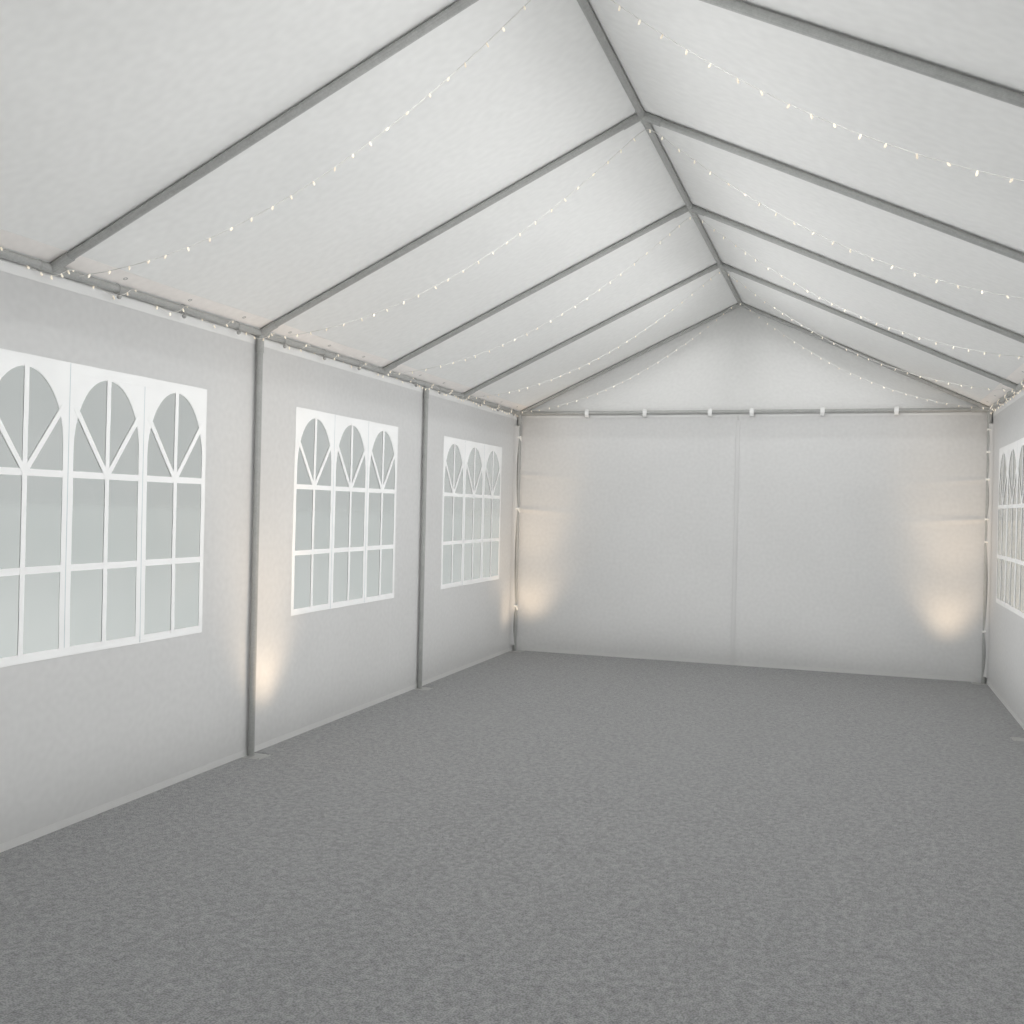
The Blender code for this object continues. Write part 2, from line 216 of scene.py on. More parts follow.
# Pale insulation on the wire, a warm lamp behind a frosted bead, and the moulded holder between.
wire_finish, *_ = mottled(
    "string_wire", 0.45, 60.0, (0.78, 0.77, 0.74), (0.66, 0.65, 0.62), relief=(0.3, 0.0004)
)
lamp_finish, _, shader, _, look = mottled(
    "lamp_bead", 0.25, 9.0, (1.0, 0.93, 0.80), (0.56, 0.49, 0.40), Emission_Strength=0.50
)
feed(shader.inputs["Emission Color"], look.outputs["Color"])
lamp_finish.cycles.emission_sampling = "NONE"
holder_finish, *_ = mottled("lamp_holder", 0.4, 90.0, (0.78, 0.76, 0.70), (0.66, 0.64, 0.58))


def string_point(share, y):
    """A point on a light string; share runs from -1 at the left eave to 1 at the right."""
    crown = 0.03
    reach = half_width - tube_radius - fit_gap
    peak = ridge_height - tube_radius - fit_gap - wire_radius
    x = math.copysign(abs(share) ** 1.6, share) * reach
    run = math.hypot(x, crown) - crown
    t = run / (math.hypot(reach, crown) - crown)
    return Vector((x, y, peak + (eave_height - peak) * t - 4 * string_sag * t * (1 - t)))


def make_cord_curve(name, points):
    """A round wire along a row of points."""
    curve = bpy.data.curves.new(name, "CURVE")
    curve.dimensions = "3D"
    curve.bevel_depth = wire_radius
    curve.bevel_resolution = 1
    curve.use_fill_caps = True
    line = curve.splines.new("POLY")
    line.points.add(len(points) - 1)
    for point, place in zip(line.points, points):
        point.co = (*place, 1.0)
    return put_in_scene(name, curve)


def join_pieces(parts):
    """Make one mesh of several, at the origin."""
    pick(parts[0])
    for part in parts[1:]:
        part.select_set(True)
    if len(parts) > 1:
        bpy.ops.object.join()
    bpy.ops.object.transform_apply()
    return bpy.context.object


def model_lamp():
    """One lamp: a tapered holder clipped to the wire with a bead hanging under it."""
    clear_selection()
    bpy.ops.mesh.primitive_uv_sphere_add(segments=8, ring_count=6, radius=0.0033)
    lamp = bpy.context.object
    for vertex in lamp.data.vertices:
        if vertex.co.z > 0.0022:
            vertex.co.x *= 0.72
            vertex.co.y *= 0.72
            vertex.co.z *= 1.25
    bpy.ops.object.shade_smooth()
    lamp.data.materials.append(lamp_finish)
    lamp.location.z = -0.0124
    bpy.ops.mesh.primitive_cone_add(
        vertices=8, radius1=0.0042, radius2=0.0026, depth=0.010, location=(0, 0, -0.0045)
    )
    bpy.ops.object.shade_smooth_by_angle(angle=math.radians(40))
    bpy.context.object.data.materials.append(holder_finish)
    return join_pieces([lamp, bpy.context.object])


def strew(name, model, places):
    """One mesh holding a copy of the model at every place."""
    bm = bmesh.new()
    for place in places:
        first = len(bm.verts)
        bm.from_mesh(model.data)
        bm.verts.ensure_lookup_table()
        bmesh.ops.transform(bm, matrix=place, verts=bm.verts[first:])
    mesh = bpy.data.meshes.new(name)
    bm.to_mesh(mesh)
    bm.free()
    return put_in_scene(name, mesh)


def points_along(path, gap_at, start):
    """Points along a path; gap_at(point) says how far on the next one lies."""
    found = []
    left = start
    for a, b in zip(path, path[1:]):
        run = (b - a).length
        while left <= run:
            point = a.lerp(b, left / run)
            found.append(point)
            left += gap_at(point)
        left -= run
    return found


lamp_model = model_lamp()
dice = random.Random(11)


def hang_lamps(name, path, gap_at, start):
    """Lamps along a wire, each swinging a little its own way."""
    places = []
    for point in points_along(path, gap_at, start):
        tilt = Matrix.Rotation(math.radians(dice.uniform(-35, 35)), 4, "Y")
        swing = Matrix.Rotation(math.radians(dice.uniform(-30, 30)), 4, "X")
        places.append(Matrix.Translation(point) @ tilt @ swing)
    lamps = strew(name, lamp_model, places)
    return fit_out(lamps, name, "lamp", lamp_finish, holder_finish)


def string_gap(point):
    """Lamps sit a little unevenly along the wire."""
    return dice.uniform(0.072, 0.104)


for number, row in enumerate(rafter_rows, 1):
    inward = -1 if number == len(rafter_rows) else 1
    string_y = row + inward * 0.12
    string_path = [string_point((i - 24) / 24, string_y) for i in range(49)]
    light_string = make_cord_curve(f"string_wire_{number}", string_path)
    fit_out(light_string, f"string_wire_{number}", "string_wire", wire_finish)
    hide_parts(f"light_string_{number}")
    string_lamps = hang_lamps(f"string_lamps_{number}", string_path, string_gap, 0.05)


# Garlands: a second lamp wire is wound loosely round each eave tube, front to rear. It crosses the
# connectors on their free lower side, so that no socket is wrapped in.
turns = 24
turn_length = half_length * 2 / turns
winding_steps = 16
sleeve_gap = 0.0200


def ripple(x, y, z):
    """Smooth random waves from -1 to 1 through space."""
    return noise.noise(Vector((x, y, z)))


def garland_path(side):
    """The wound route: tight behind the tube, slack in front of it and below."""
    points = []
    first = -half_length + 0.03
    last = half_length - 0.03
    count = int(turns * winding_steps * (last - first) / (half_length * 2))
    for i in range(count + 1):
        y = first + (last - first) * i / count
        turn = 2 * math.pi * (y + half_length) / turn_length - math.pi / 4
        down = math.sin(turn)
        inward = math.cos(turn)
        slack = max(0.0, 0.5 * inward - 0.6 * down)
        loose = 0.5 + 0.5 * ripple(y * 2.3, side * 5.0, 0.4)
        reach = sleeve_gap + 0.0005 + slack * (0.013 + 0.022 * loose)
        if inward < 0 or down > 0:
            reach = sleeve_gap + 0.0002 + slack * 0.01
        x = side * (half_width - inward * reach)
        points.append(Vector((x, y, eave_height + down * reach)))
    return points


def garland_gap(point):
    """Lamps crowd where the wire is tied round a joint, and towards the closed end."""
    to_joint = min(abs(point.y - row) for row in rafter_rows)
    if point.y > half_length - 2.2:
        return dice.uniform(0.024, 0.038)
    if to_joint < 0.10:
        return dice.uniform(0.036, 0.056)
    return dice.uniform(0.060, 0.096)


sides = (("left", -1), ("right", 1))
for side_name, side in sides:
    route = garland_path(side)
    garland = make_cord_curve(f"garland_wire_{side_name}", route)
    fit_out(garland, f"garland_wire_{side_name}", "string_wire", wire_finish)
    garland_lamps = hang_lamps(f"garland_lamps_{side_name}", route, garland_gap, 0.04)
bpy.data.objects.remove(lamp_model, do_unlink=True)


# Steel frame: round galvanised steel tube, 32 mm across, cut to length and slotted into welded
# sockets, five posts a side on small foot plates, seven pairs of rafters and a tie at each gable.
socket_radius = 0.0193
sleeve_radius = 0.0185
seat = 0.022
frame_out = socket_radius + 0.002
plate_size = 0.11
plate_thick = 0.004
peg_reach = Vector((0.0, 0.0, 0.01))
corner_reach = (tube_radius + socket_radius + 0.002) / math.sin(slope)
post_rows = [-half_length + 2.0 * i for i in range(5)]


def math_node(nodes, operation, first, second):
    """A Math node fed by sockets or plain numbers."""
    node = nodes.new("ShaderNodeMath")
    node.operation = operation
    feed(node.inputs[0], first)
    feed(node.inputs[1], second)
    return node.outputs[0]


def make_steel_finish():
    """Weathered zinc: a fine spangle, darker dull patches and faint scuffs along the tube."""
    material, nodes, shader, place, look = mottled(
        "galvanised_tube", 0.42, 14.0, (0.455, 0.46, 0.45), (0.405, 0.41, 0.40), Metallic=0.30
    )
    drawn = add_node(nodes, "Mapping", Vector=place.outputs["UV"], Scale=(46.0, 3.0, 1.0))
    streak = add_node(nodes, "TexNoise", Vector=drawn.outputs["Vector"], Scale=1.0, Detail=1.0)
    spangle = add_node(nodes, "TexVoronoi", Vector=place.outputs["Object"], Scale=170.0)
    tone = add_node(nodes, "SeparateColor", Color=spangle.outputs["Color"])
    fleck = math_node(nodes, "MULTIPLY", tone.outputs[0], 0.12)
    line = math_node(nodes, "MULTIPLY", streak.outputs["Fac"], 0.34)
    shade = math_node(nodes, "ADD", math_node(nodes, "ADD", fleck, line), 0.77)
    shaded = mix_colours(nodes, "MULTIPLY", 1.0, look.outputs["Color"], shade)
    dull = add_node(nodes, "MapRange", Value=look.outputs["Mask"], To_Min=0.36, To_Max=0.56)
    feed_all(shader, {"Base_Color": shaded, "Roughness": dull.outputs["Result"]})
    add_bump(nodes, tone.outputs[0], 0.12, 0.0004)
    return material


steel_finish = make_steel_finish()


def apply_modifier(piece, kind, **settings):
    """Add a modifier to the active piece and apply it."""
    modifier = piece.modifiers.new(kind, kind)
    for title, value in settings.items():
        setattr(modifier, title, value)
    bpy.ops.object.modifier_apply(modifier=modifier.name)


def add_bar(start, end, radius, rim=0.0012, vertices=32):
    """A round bar between two points, its end rims eased."""
    start, end = Vector(start), Vector(end)
    run = end - start
    clear_selection()
    bpy.ops.mesh.primitive_cylinder_add(
        vertices=vertices, radius=radius, depth=run.length, location=(start + end) / 2,
        rotation=run.to_track_quat("Z", "Y").to_euler(),
    )
    bar = bpy.context.object
    if rim:
        apply_modifier(bar, "BEVEL", width=rim, segments=2, limit_method="ANGLE")
    bpy.ops.object.transform_apply()
    bpy.ops.object.shade_smooth_by_angle(angle=math.radians(35))
    return bar


def add_block(centre, sizes):
    """A box of the given sizes round a centre."""
    clear_selection()
    bpy.ops.mesh.primitive_cube_add(size=1.0, location=centre)
    bpy.context.object.scale = sizes
    bpy.ops.object.transform_apply()
    return bpy.context.object


def cut_away(target, tool):
    """Cut one closed mesh with another."""
    pick(target)
    apply_modifier(target, "BOOLEAN", operation="DIFFERENCE", solver="EXACT", object=tool)
    bpy.data.objects.remove(tool, do_unlink=True)


def model_bolt():
    """A hexagon bolt head on a washer, its face towards +X."""
    clear_selection()
    bpy.ops.mesh.primitive_cylinder_add(vertices=16, radius=0.0085, depth=0.0016)
    washer = bpy.context.object
    bpy.ops.mesh.primitive_cylinder_add(
        vertices=6, radius=0.0062, depth=0.0048, location=(0, 0, 0.003)
    )
    head = bpy.context.object
    apply_modifier(head, "BEVEL", width=0.0007, segments=2)
    bolt = join_pieces([washer, head])
    bolt.rotation_euler = (0, math.pi / 2, 0)
    bpy.ops.object.transform_apply()
    return bolt


def plate_rows(y):
    """Where a foot plate starts and ends along the tent; those at the ends are shifted inwards."""
    low = max(y - plate_size / 2, -half_length - frame_out)
    high = min(low + plate_size, half_length + frame_out)
    return high - plate_size, high


def make_post(side_name, side, number, y):
    """A post with its welded foot plate, the plate bored for two pegs."""
    x = side * half_width
    plate_in = x + side * (frame_out - plate_size)
    low_y, high_y = plate_rows(y)
    middle_y = (low_y + high_y) / 2
    plate = add_block(
        (plate_in + side * plate_size / 2, middle_y, plate_thick / 2),
        (plate_size, plate_size, plate_thick),
    )
    apply_modifier(plate, "BEVEL", width=0.0012, segments=2)
    for peg in (-1, 1):
        hole = Vector((plate_in + side * 0.018, middle_y + peg * 0.042, 0.0))
        cut_away(plate, add_bar(hole - peg_reach, hole + 2 * peg_reach, 0.006, rim=0, vertices=16))
    bpy.ops.object.shade_smooth_by_angle(angle=math.radians(30))
    tube = add_bar((x, y, 0.003), (x, y, eave_height - seat - fit_gap), tube_radius)
    weld = add_bar((x, y, 0.0035), (x, y, 0.0078), tube_radius + 0.003, rim=0.0028)
    post = join_pieces([tube, plate, weld])
    fit_out(post, f"steel_post_{side_name}_{number}", "steel_tube", steel_finish)
    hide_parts(f"post_{side_name}_{number}")


for side_name, side in sides:
    for number, y in enumerate(post_rows, 1):
        make_post(side_name, side, number, y)

span = math.hypot(half_width, ridge_height - eave_height)
for side_name, side in sides:
    climb = Vector((-side * math.cos(slope), 0.0, math.sin(slope)))
    for number, y in enumerate(rafter_rows, 1):
        foot = Vector((side * half_width, y, eave_height))
        rafter = add_bar(
            foot + climb * (seat + fit_gap), foot + climb * (span - seat - fit_gap), tube_radius
        )
        fit_out(rafter, f"steel_rafter_{side_name}_{number}", "steel_tube", steel_finish)
        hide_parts(f"rafter_{side_name}_{number}")

tie_reach = half_width - corner_reach - fit_gap
for end_name, y in (("front", -half_length), ("rear", half_length)):
    tie = add_bar((-tie_reach, y, eave_height), (tie_reach, y, eave_height), tube_radius)
    fit_out(tie, f"steel_tie_{end_name}", "steel_tube", steel_finish)
    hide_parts(f"tie_beam_{end_name}")


# Eave and ridge tubes: one long tube each, with short sleeves where other tubes meet it and welded
# sockets for posts, rafters and gable ties, each socket drawn tight on its tube by a set bolt.
beam_end = half_length + frame_out
sleeve_half = 0.06
sleeve_inset = 0.001
post_socket = 0.10
rafter_socket = corner_reach + 0.012
tie_socket = corner_reach + 0.05
bolt_inset = 0.022
bolt_model = model_bolt()


def add_socket(start, direction, reach, bolts):
    """A welded socket, open at its far end, with a set bolt near the mouth."""
    start, direction = Vector(start), Vector(direction)
    socket = add_bar(start, start + direction * reach, socket_radius, rim=0.0008)
    bore = add_bar(
        start + direction * seat, start + direction * (reach + 0.01), tube_radius + fit_gap, rim=0
    )
    cut_away(socket, bore)
    bpy.ops.object.shade_smooth_by_angle(angle=math.radians(35))
    facing = Vector((0, -1 if start.y > 0 else 1, 0))
    place = start + direction * (reach - bolt_inset) + facing * socket_radius
    bolts.append(Matrix.Translation(place) @ facing.to_track_quat("X", "Z").to_matrix().to_4x4())
    return socket


def make_beam(x, z, sleeve_rows, sockets, name, node):
    """A long tube with its sleeves, its sockets (row, direction and reach) and their bolts."""
    parts = [add_bar((x, -beam_end, z), (x, beam_end, z), tube_radius)]
    for y in sleeve_rows:
        low = max(y - sleeve_half, -beam_end + sleeve_inset)
        high = min(y + sleeve_half, beam_end - sleeve_inset)
        parts.append(add_bar((x, low, z), (x, high, z), sleeve_radius))
    bolts = []
    parts += [add_socket((x, y, z), direction, reach, bolts) for y, direction, reach in sockets]
    parts.append(strew("bolts", bolt_model, bolts))
    beam = fit_out(join_pieces(parts), name, "steel_tube", steel_finish)
    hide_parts(node)


for side_name, side in sides:
    climb = (-side * math.cos(slope), 0.0, math.sin(slope))
    sockets = [(y, (0, 0, -1), post_socket) for y in post_rows]
    sockets += [(y, climb, rafter_socket) for y in rafter_rows]
    sockets += [(y, (-side, 0, 0), tie_socket) for y in (-half_length, half_length)]
    sleeve_rows = sorted(set(round(y, 6) for y in post_rows + rafter_rows))
    make_beam(
        side * half_width, eave_height, sleeve_rows, sockets,
        f"steel_eave_{side_name}", f"eave_beam_{side_name}",
    )

sockets = [
    (y, (side * math.cos(slope), 0.0, -math.sin(slope)), rafter_socket)
    for y in rafter_rows for side in (-1, 1)
]
make_beam(0, ridge_height, rafter_rows, sockets, "steel_ridge", "ridge_beam")
bpy.data.objects.remove(bolt_model, do_unlink=True)


# Roof cover: one piece of coated white cloth, laid over the rafters and drawn down over both eaves
# into side valances. It hangs a finger's breadth between rafters and lets daylight through.
wall_in = half_width + frame_out + fit_gap
wall_out = wall_in + 0.008
rear_in = half_length + frame_out + fit_gap
gable_out = rear_in + 0.008 + fit_gap + 0.008
valance_in = wall_out + fit_gap
valance_bottom = 1.98
cloth_thick = 0.0014
roof_lift = (socket_radius + fit_gap) / math.cos(slope)


def build_weave():
    """Fine plain weave in sheet metres: over and under threads as a height and a faint tint."""
    group, nodes, given, made = group_frame(
        "plain_weave",
        [("Vector", "Vector", None), ("Threads", "Float", 420.0)],
        [("Height", "Float"), ("Shade", "Float")],
    )
    axes = add_node(nodes, "SeparateXYZ", Vector=given.outputs["Vector"])
    waves = []
    for axis in (0, 1):
        scaled = math_node(nodes, "MULTIPLY", axes.outputs[axis], given.outputs["Threads"])
        turned = math_node(nodes, "MULTIPLY", scaled, 2 * math.pi)
        waves.append(math_node(nodes, "SINE", turned, None))
    half = math_node(nodes, "MULTIPLY", math_node(nodes, "MULTIPLY", *waves), 0.5)
    slub = add_node(nodes, "TexNoise", Vector=given.outputs["Vector"], Scale=35.0, Detail=0.0)
    tint = math_node(nodes, "MULTIPLY", slub.outputs["Fac"], 0.08)
    feed(made.inputs["Height"], math_node(nodes, "ADD", half, 0.5))
    feed(made.inputs["Shade"], math_node(nodes, "ADD", tint, 0.95))
    return group


plain_weave = build_weave()


def make_cloth_finish(name, light, dark, see_through, flat):
    """Coated woven cloth; the sheet's own map, scaled to its flat size, guides the threads."""
    material, nodes, shader, place, look = mottled(name, 0.58, 1.1, light, dark)
    sized = add_node(nodes, "Mapping", Vector=place.outputs["UV"], Scale=(*flat, 1.0))
    weave = add_group(nodes, plain_weave, Vector=sized.outputs["Vector"], Threads=420.0)
    woven = mix_colours(nodes, "MULTIPLY", 1.0, look.outputs["Color"], weave.outputs["Shade"])
    feed(shader.inputs["Base Color"], woven)
    folds = add_node(nodes, "TexNoise", Vector=place.outputs["Object"], Scale=3.2, Detail=1.0)
    relief = math_node(nodes, "MULTIPLY", folds.outputs["Fac"], 12.0)
    add_bump(nodes, math_node(nodes, "ADD", relief, weave.outputs["Height"]), 0.35, 0.0004)
    glow = add_node(nodes, "BsdfTranslucent", Color=woven)
    share = nodes.new("ShaderNodeMixShader")
    for socket, value in zip(share.inputs, (see_through, shader.outputs[0], glow.outputs[0])):
        feed(socket, value)
    feed(nodes["Material Output"].inputs["Surface"], share.outputs[0])
    return material


def edit_all(*steps):
    """Run edit mode operators, each with its settings, on the whole active mesh."""
    bpy.ops.object.mode_set(mode="EDIT")
    bpy.ops.mesh.select_all(action="SELECT")
    for step, settings in steps:
        step(**settings)
    bpy.ops.object.mode_set(mode="OBJECT")


def sheet_from_grid(columns, rows, to_point, hole=None):
    """A cloth sheet from a grid; to_point(u, v) places each vertex, hole(u, v) leaves faces out."""
    clear_selection()
    bpy.ops.mesh.primitive_grid_add(x_subdivisions=columns, y_subdivisions=rows, size=2.0)
    sheet = bpy.context.object
    if hole is not None:
        for face in sheet.data.polygons:
            middle = face.center
            face.select = hole((middle.x + 1) / 2, (middle.y + 1) / 2)
        bpy.context.tool_settings.mesh_select_mode = (False, False, True)
        bpy.ops.object.mode_set(mode="EDIT")
        bpy.ops.mesh.delete(type="FACE")
        bpy.ops.object.mode_set(mode="OBJECT")
    for vertex in sheet.data.vertices:
        vertex.co = to_point((vertex.co.x + 1) / 2, (vertex.co.y + 1) / 2)
    return sheet


def thicken(sheet, thick, offset=0.0):
    """Give a sheet its thickness and smooth it."""
    pick(sheet)
    apply_modifier(sheet, "SOLIDIFY", thickness=thick, offset=offset, use_even_offset=True)
    edit_all((bpy.ops.mesh.normals_make_consistent, {"inside": False}))
    bpy.ops.object.shade_smooth_by_angle(angle=math.radians(50))
    return sheet


def roof_under(x):
    """Height of the roof cloth's underside across the tent."""
    return ridge_height + roof_lift - abs(x) * math.tan(slope)


def roof_profile():
    """Points across the roof from the left valance's hem over the ridge to the right one's."""
    right = []
    for i in range(25):
        x = (wall_out - 0.006) * i / 24
        right.append((x, roof_under(x), "slope"))
    turn = 0.0085
    turn_x = valance_in + cloth_thick - turn
    turn_z = roof_under(wall_out - 0.006) - 0.008
    for i in range(1, 5):
        angle = slope + (math.pi / 2 - slope) * i / 4
        right.append((turn_x + turn * math.sin(angle), turn_z + turn * math.cos(angle), "eave"))
    for i in range(1, 11):
        drop = (turn_z - valance_bottom) * i / 10
        right.append((valance_in + cloth_thick, turn_z - drop, "valance"))
    left = [(-x, z, kind) for x, z, kind in reversed(right[1:])]
    return left + right


profile = roof_profile()
roof_rows = bays * 28


def between_rafters(y):
    """Nothing at a rafter and 1 halfway to the next."""
    bay = max(0.0, min(1.0, (y + half_length) / (2 * half_length))) * bays
    return math.sin(math.pi * (bay % 1.0)) ** 2


def roof_sag(x, y):
    """How far the roof cloth hangs below a straight line."""
    return 0.013 * between_rafters(y) * math.sin(math.pi * abs(x) / wall_out) ** 0.8


def roof_point(u, v):
    """A point on the roof cloth, sagging between rafters and waving a little in the valance."""
    x, z, kind = profile[round(u * (len(profile) - 1))]
    y = -gable_out + 2 * gable_out * v
    if kind == "eave":
        return Vector((x, y, z))
    if kind == "slope":
        between = between_rafters(y)
        edge = max(0.0, abs(x) / wall_out - 0.82) / 0.18
        wave = 0.0022 * ripple(x * 2.6, y * 1.9, 0.0) + 0.0012 * math.sin(y * 31.0) * edge
        return Vector((x, y, z - roof_sag(x, y) + wave * between))
    fall = (z - valance_bottom) / (profile[0][1] - valance_bottom + 0.21)
    swing = 0.5 + 0.5 * math.sin(y * 9.0 + 1.6 * ripple(y * 0.9, x, 0.0) + x)
    wave = 0.015 * (1.0 - min(1.0, fall * 1.2)) * swing
    return Vector((x + math.copysign(wave, x), y, z))


roof_finish = make_cloth_finish(
    "roof_cloth", (0.82, 0.82, 0.81), (0.79, 0.79, 0.78), 0.42, (4.95, 8.08)
)
roof = thicken(sheet_from_grid(len(profile) - 1, roof_rows, roof_point), cloth_thick, 1.0)
fit_out(roof, "roof_sheet", "roof_cloth", roof_finish)
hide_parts("roof_cover")


# Roof seams: the cover is welded from panels that meet over the rafters under flat strips. Doubled
# hems edge its valances and ends, a band covers the ridge, and a hem lies over each eave tube.
strip_thick = 0.0010
seam_width = 0.02
edge_width = 0.04
hem_width = 0.085
last_place = len(profile) - 1
seam_finish = make_cloth_finish(
    "seam_strip", (0.76, 0.76, 0.755), (0.72, 0.72, 0.715), 0.24, (0.04, 4.9)
)
hem_finish = make_cloth_finish(
    "hem_cloth", (0.90, 0.87, 0.84), (0.86, 0.83, 0.80), 0.10, (0.07, 8.0)
)


def make_strip(to_point, columns, rows):
    """One narrow strip of cloth with its thickness."""
    return thicken(sheet_from_grid(columns, rows, to_point), strip_thick)


def sew_on(parts, name, slot, material):
    """Strips made one piece and given their finish."""
    strips = fit_out(join_pieces(parts), name, slot, material)


def on_roof(place, v):
    """A point on the roof cloth; place counts the profile's points from hem to hem."""
    low = min(int(place), last_place - 1)
    first = roof_point(low / last_place, v)
    return first.lerp(roof_point((low + 1) / last_place, v), place - low)


def outside_roof(place, y, proud):
    """A point just outside the roof cloth."""
    v = (y + gable_out) / (2 * gable_out)
    before = on_roof(max(place - 0.2, 0.0), v)
    along = (on_roof(min(place + 0.2, last_place), v) - before).normalized()
    out = Vector((-along.z, 0.0, along.x))
    return on_roof(place, v) + out * (cloth_thick + proud)


def seam_strip(y, width):
    """The strip over one seam, across the whole cover."""
    return make_strip(
        lambda u, v: outside_roof(round(v * last_place), y + width * (u - 0.5), 0.0006),
        1, last_place,
    )


def long_strip(low, high, proud):
    """A strip along the whole cover, between two places of the profile."""
    return make_strip(
        lambda u, v: outside_roof(
            low + (high - low) * u, (gable_out - 0.001) * (2 * v - 1), proud
        ),
        2, roof_rows,
    )


roof_across = sum(math.dist(a[:2], b[:2]) for a, b in zip(profile, profile[1:]))
parts = [seam_strip(y, seam_width) for y in rafter_rows[1:-1]]
parts += [seam_strip(end * (gable_out - edge_width / 2), edge_width) for end in (-1, 1)]
sew_on(
    parts, "roof_seams", "roof_cloth", seam_finish,
)
sew_on(
    [long_strip(last_place / 2 - 0.2, last_place / 2 + 0.2, 0.0009)], "ridge_band", "roof_cloth",
    seam_finish,
)
sew_on(
    [long_strip(0, 2, 0.0016), long_strip(last_place - 2, last_place, 0.0016)], "valance_hems",
    "roof_cloth", seam_finish,
)


def roof_hem(u, v, side):
    """The cover's doubled hem on its underside, just above the eave tube."""
    x = half_width - 0.006 - hem_width * math.cos(slope) * (1 - u)
    y = (half_length - 0.002) * (2 * v - 1)
    return Vector((side * x, y, roof_under(x) - roof_sag(x, y) - 0.0014))


for side_name, side in sides:
    sew_on(
        [make_strip(lambda u, v: roof_hem(u, v, side), 2, 84)], f"roof_hem_{side_name}",
        "roof_cloth", hem_finish,
    )


# Gable panels: a triangle of the same cloth at each end, its lower edge hemmed at the valance's
# height and its upper edges welded under the roof cover.
def gable_point(u, v, y):
    """A point on a gable panel, from its hem to the roof line."""
    x = (2 * u - 1) * (wall_out - 0.001)
    top = roof_under(x) - fit_gap - 0.001
    z = valance_bottom + (top - valance_bottom) * v
    wave = 0.0015 * ripple(x * 2.0, y, z * 3.0) * math.sin(math.pi * v)
    return Vector((x, y + wave, z))


# Painted shade: the gables are the roof's cloth, made a little darker to stand in for the dimmer
# light on them.
gable_painted_shade_finish = make_cloth_finish(
    "gable_cloth_painted_shade", (0.80, 0.80, 0.79), (0.77, 0.77, 0.76), 0.26, (4.06, 1.18)
)
for end_name, y in (("front", -gable_out + 0.004), ("rear", gable_out - 0.004)):
    gable = thicken(sheet_from_grid(48, 14, lambda u, v: gable_point(u, v, y)), cloth_thick)
    fit_out(gable, f"gable_sheet_{end_name}", "roof_cloth", gable_painted_shade_finish)
    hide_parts(f"gable_panel_{end_name}")

    def gable_hem(u, v):
        """The doubled lower edge, on the outside."""
        x = (wall_out - 0.003) * (2 * u - 1)
        z = valance_bottom + 0.001 + (edge_width + 0.002) * v
        return Vector((x, y + math.copysign(cloth_thick / 2 + 0.0008, y), z))

    sew_on(
        [make_strip(gable_hem, 48, 1)], f"gable_hem_{end_name}", "roof_cloth", seam_finish,
    )


# Side walls: two panels a side of heavier white cloth, hung from the eave tube and hemmed top and
# bottom, with an opening cut in each bay for its window.
wall_plane = wall_in + 0.0022
wall_floor = 0.004
wall_top = roof_under(wall_out) - fit_gap - 0.002
light_pitch = 0.413
group_half = 3 * light_pitch / 2
group_top = 1.86
group_bottom = 0.69
cut_half, cut_bottom, cut_top = group_half - 0.018, group_bottom + 0.018, group_top - 0.018
bay_centres = [(a + b) / 2 for a, b in zip(post_rows, post_rows[1:])]


def spaced(stops, gap):
    """Values from the first stop to the last that include every stop, at most a gap apart."""
    values = [stops[0]]
    for a, b in zip(stops, stops[1:]):
        count = max(1, math.ceil((b - a) / gap - 1e-6))
        values += [a + (b - a) * i / count for i in range(1, count + 1)]
    return values


def wall_wave(side, y, z):
    """How far the loose cloth stands out at a spot: nothing at the posts, the top and the floor."""
    from_post = min(abs(y - row) for row in post_rows)
    up = (z - wall_floor) / (wall_top - wall_floor)
    held = min(1.0, from_post / 0.30) * math.sin(math.pi * up)
    slow = 0.5 + 0.5 * ripple(side * 3.0, y * 1.5, z * 0.8)
    return (0.0090 * slow + 0.0012 * ripple(side, y * 6.0, z * 1.3)) * max(0.0, held)


def on_wall(side, y, z, off=0.0):
    """A point on a side wall's cloth, or a little outside it."""
    return Vector((side * (wall_plane + wall_wave(side, y, z) + off), y, z))


def make_side_wall(side_name, side, part, low, high):
    """One wall panel with its two window openings."""
    stops_y = [low, high]
    for centre in bay_centres:
        if low < centre < high:
            stops_y += [centre - cut_half, centre + cut_half]
    ys = spaced(sorted(stops_y), 0.03)
    zs = spaced([wall_floor, cut_bottom, cut_top, wall_top], 0.03)

    def to_point(u, v):
        return on_wall(side, ys[round(u * (len(ys) - 1))], zs[round(v * (len(zs) - 1))])

    def hole(u, v):
        at_y, at_z = int(u * (len(ys) - 1)), int(v * (len(zs) - 1))
        y, z = (ys[at_y] + ys[at_y + 1]) / 2, (zs[at_z] + zs[at_z + 1]) / 2
        beside = any(abs(y - centre) < cut_half for centre in bay_centres)
        return beside and cut_bottom < z < cut_top

    wall = thicken(sheet_from_grid(len(ys) - 1, len(zs) - 1, to_point, hole), cloth_thick)
    fit_out(wall, f"wall_sheet_{side_name}_{part}", "wall_cloth", wall_finish)
    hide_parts(f"side_wall_{side_name}_{part}")


wall_finish = make_cloth_finish(
    "wall_cloth", (0.72, 0.72, 0.715), (0.69, 0.69, 0.685), 0.25, (4.02, 2.21)
)
for side_name, side in sides:
    make_side_wall(side_name, side, "front", -beam_end, -fit_gap)
    make_side_wall(side_name, side, "rear", fit_gap, beam_end)


# Wall seams: a flat strip covers each wall's joint or edge outside a post, and doubled hems run
# along its foot on both faces and along its top inside, under the eave tube.
foot_width = 0.032
foot_top = wall_floor + foot_width
top_width = 0.042
hem_off = cloth_thick / 2 + 0.0007
pale_finish = make_cloth_finish(
    "welded_hem", (0.80, 0.80, 0.79), (0.76, 0.76, 0.75), 0.06, (0.045, 8.0)
)
foot_finish = make_cloth_finish(
    "foot_hem", (0.79, 0.79, 0.78), (0.74, 0.74, 0.73), 0.12, (0.035, 8.0)
)


def wall_seam(side, y):
    """The strip outside one post."""
    height = wall_top - wall_floor - 0.003
    return make_strip(
        lambda u, v: on_wall(side, y + edge_width * (u - 0.5), wall_floor + height * v, hem_off),
        1, 40,
    )


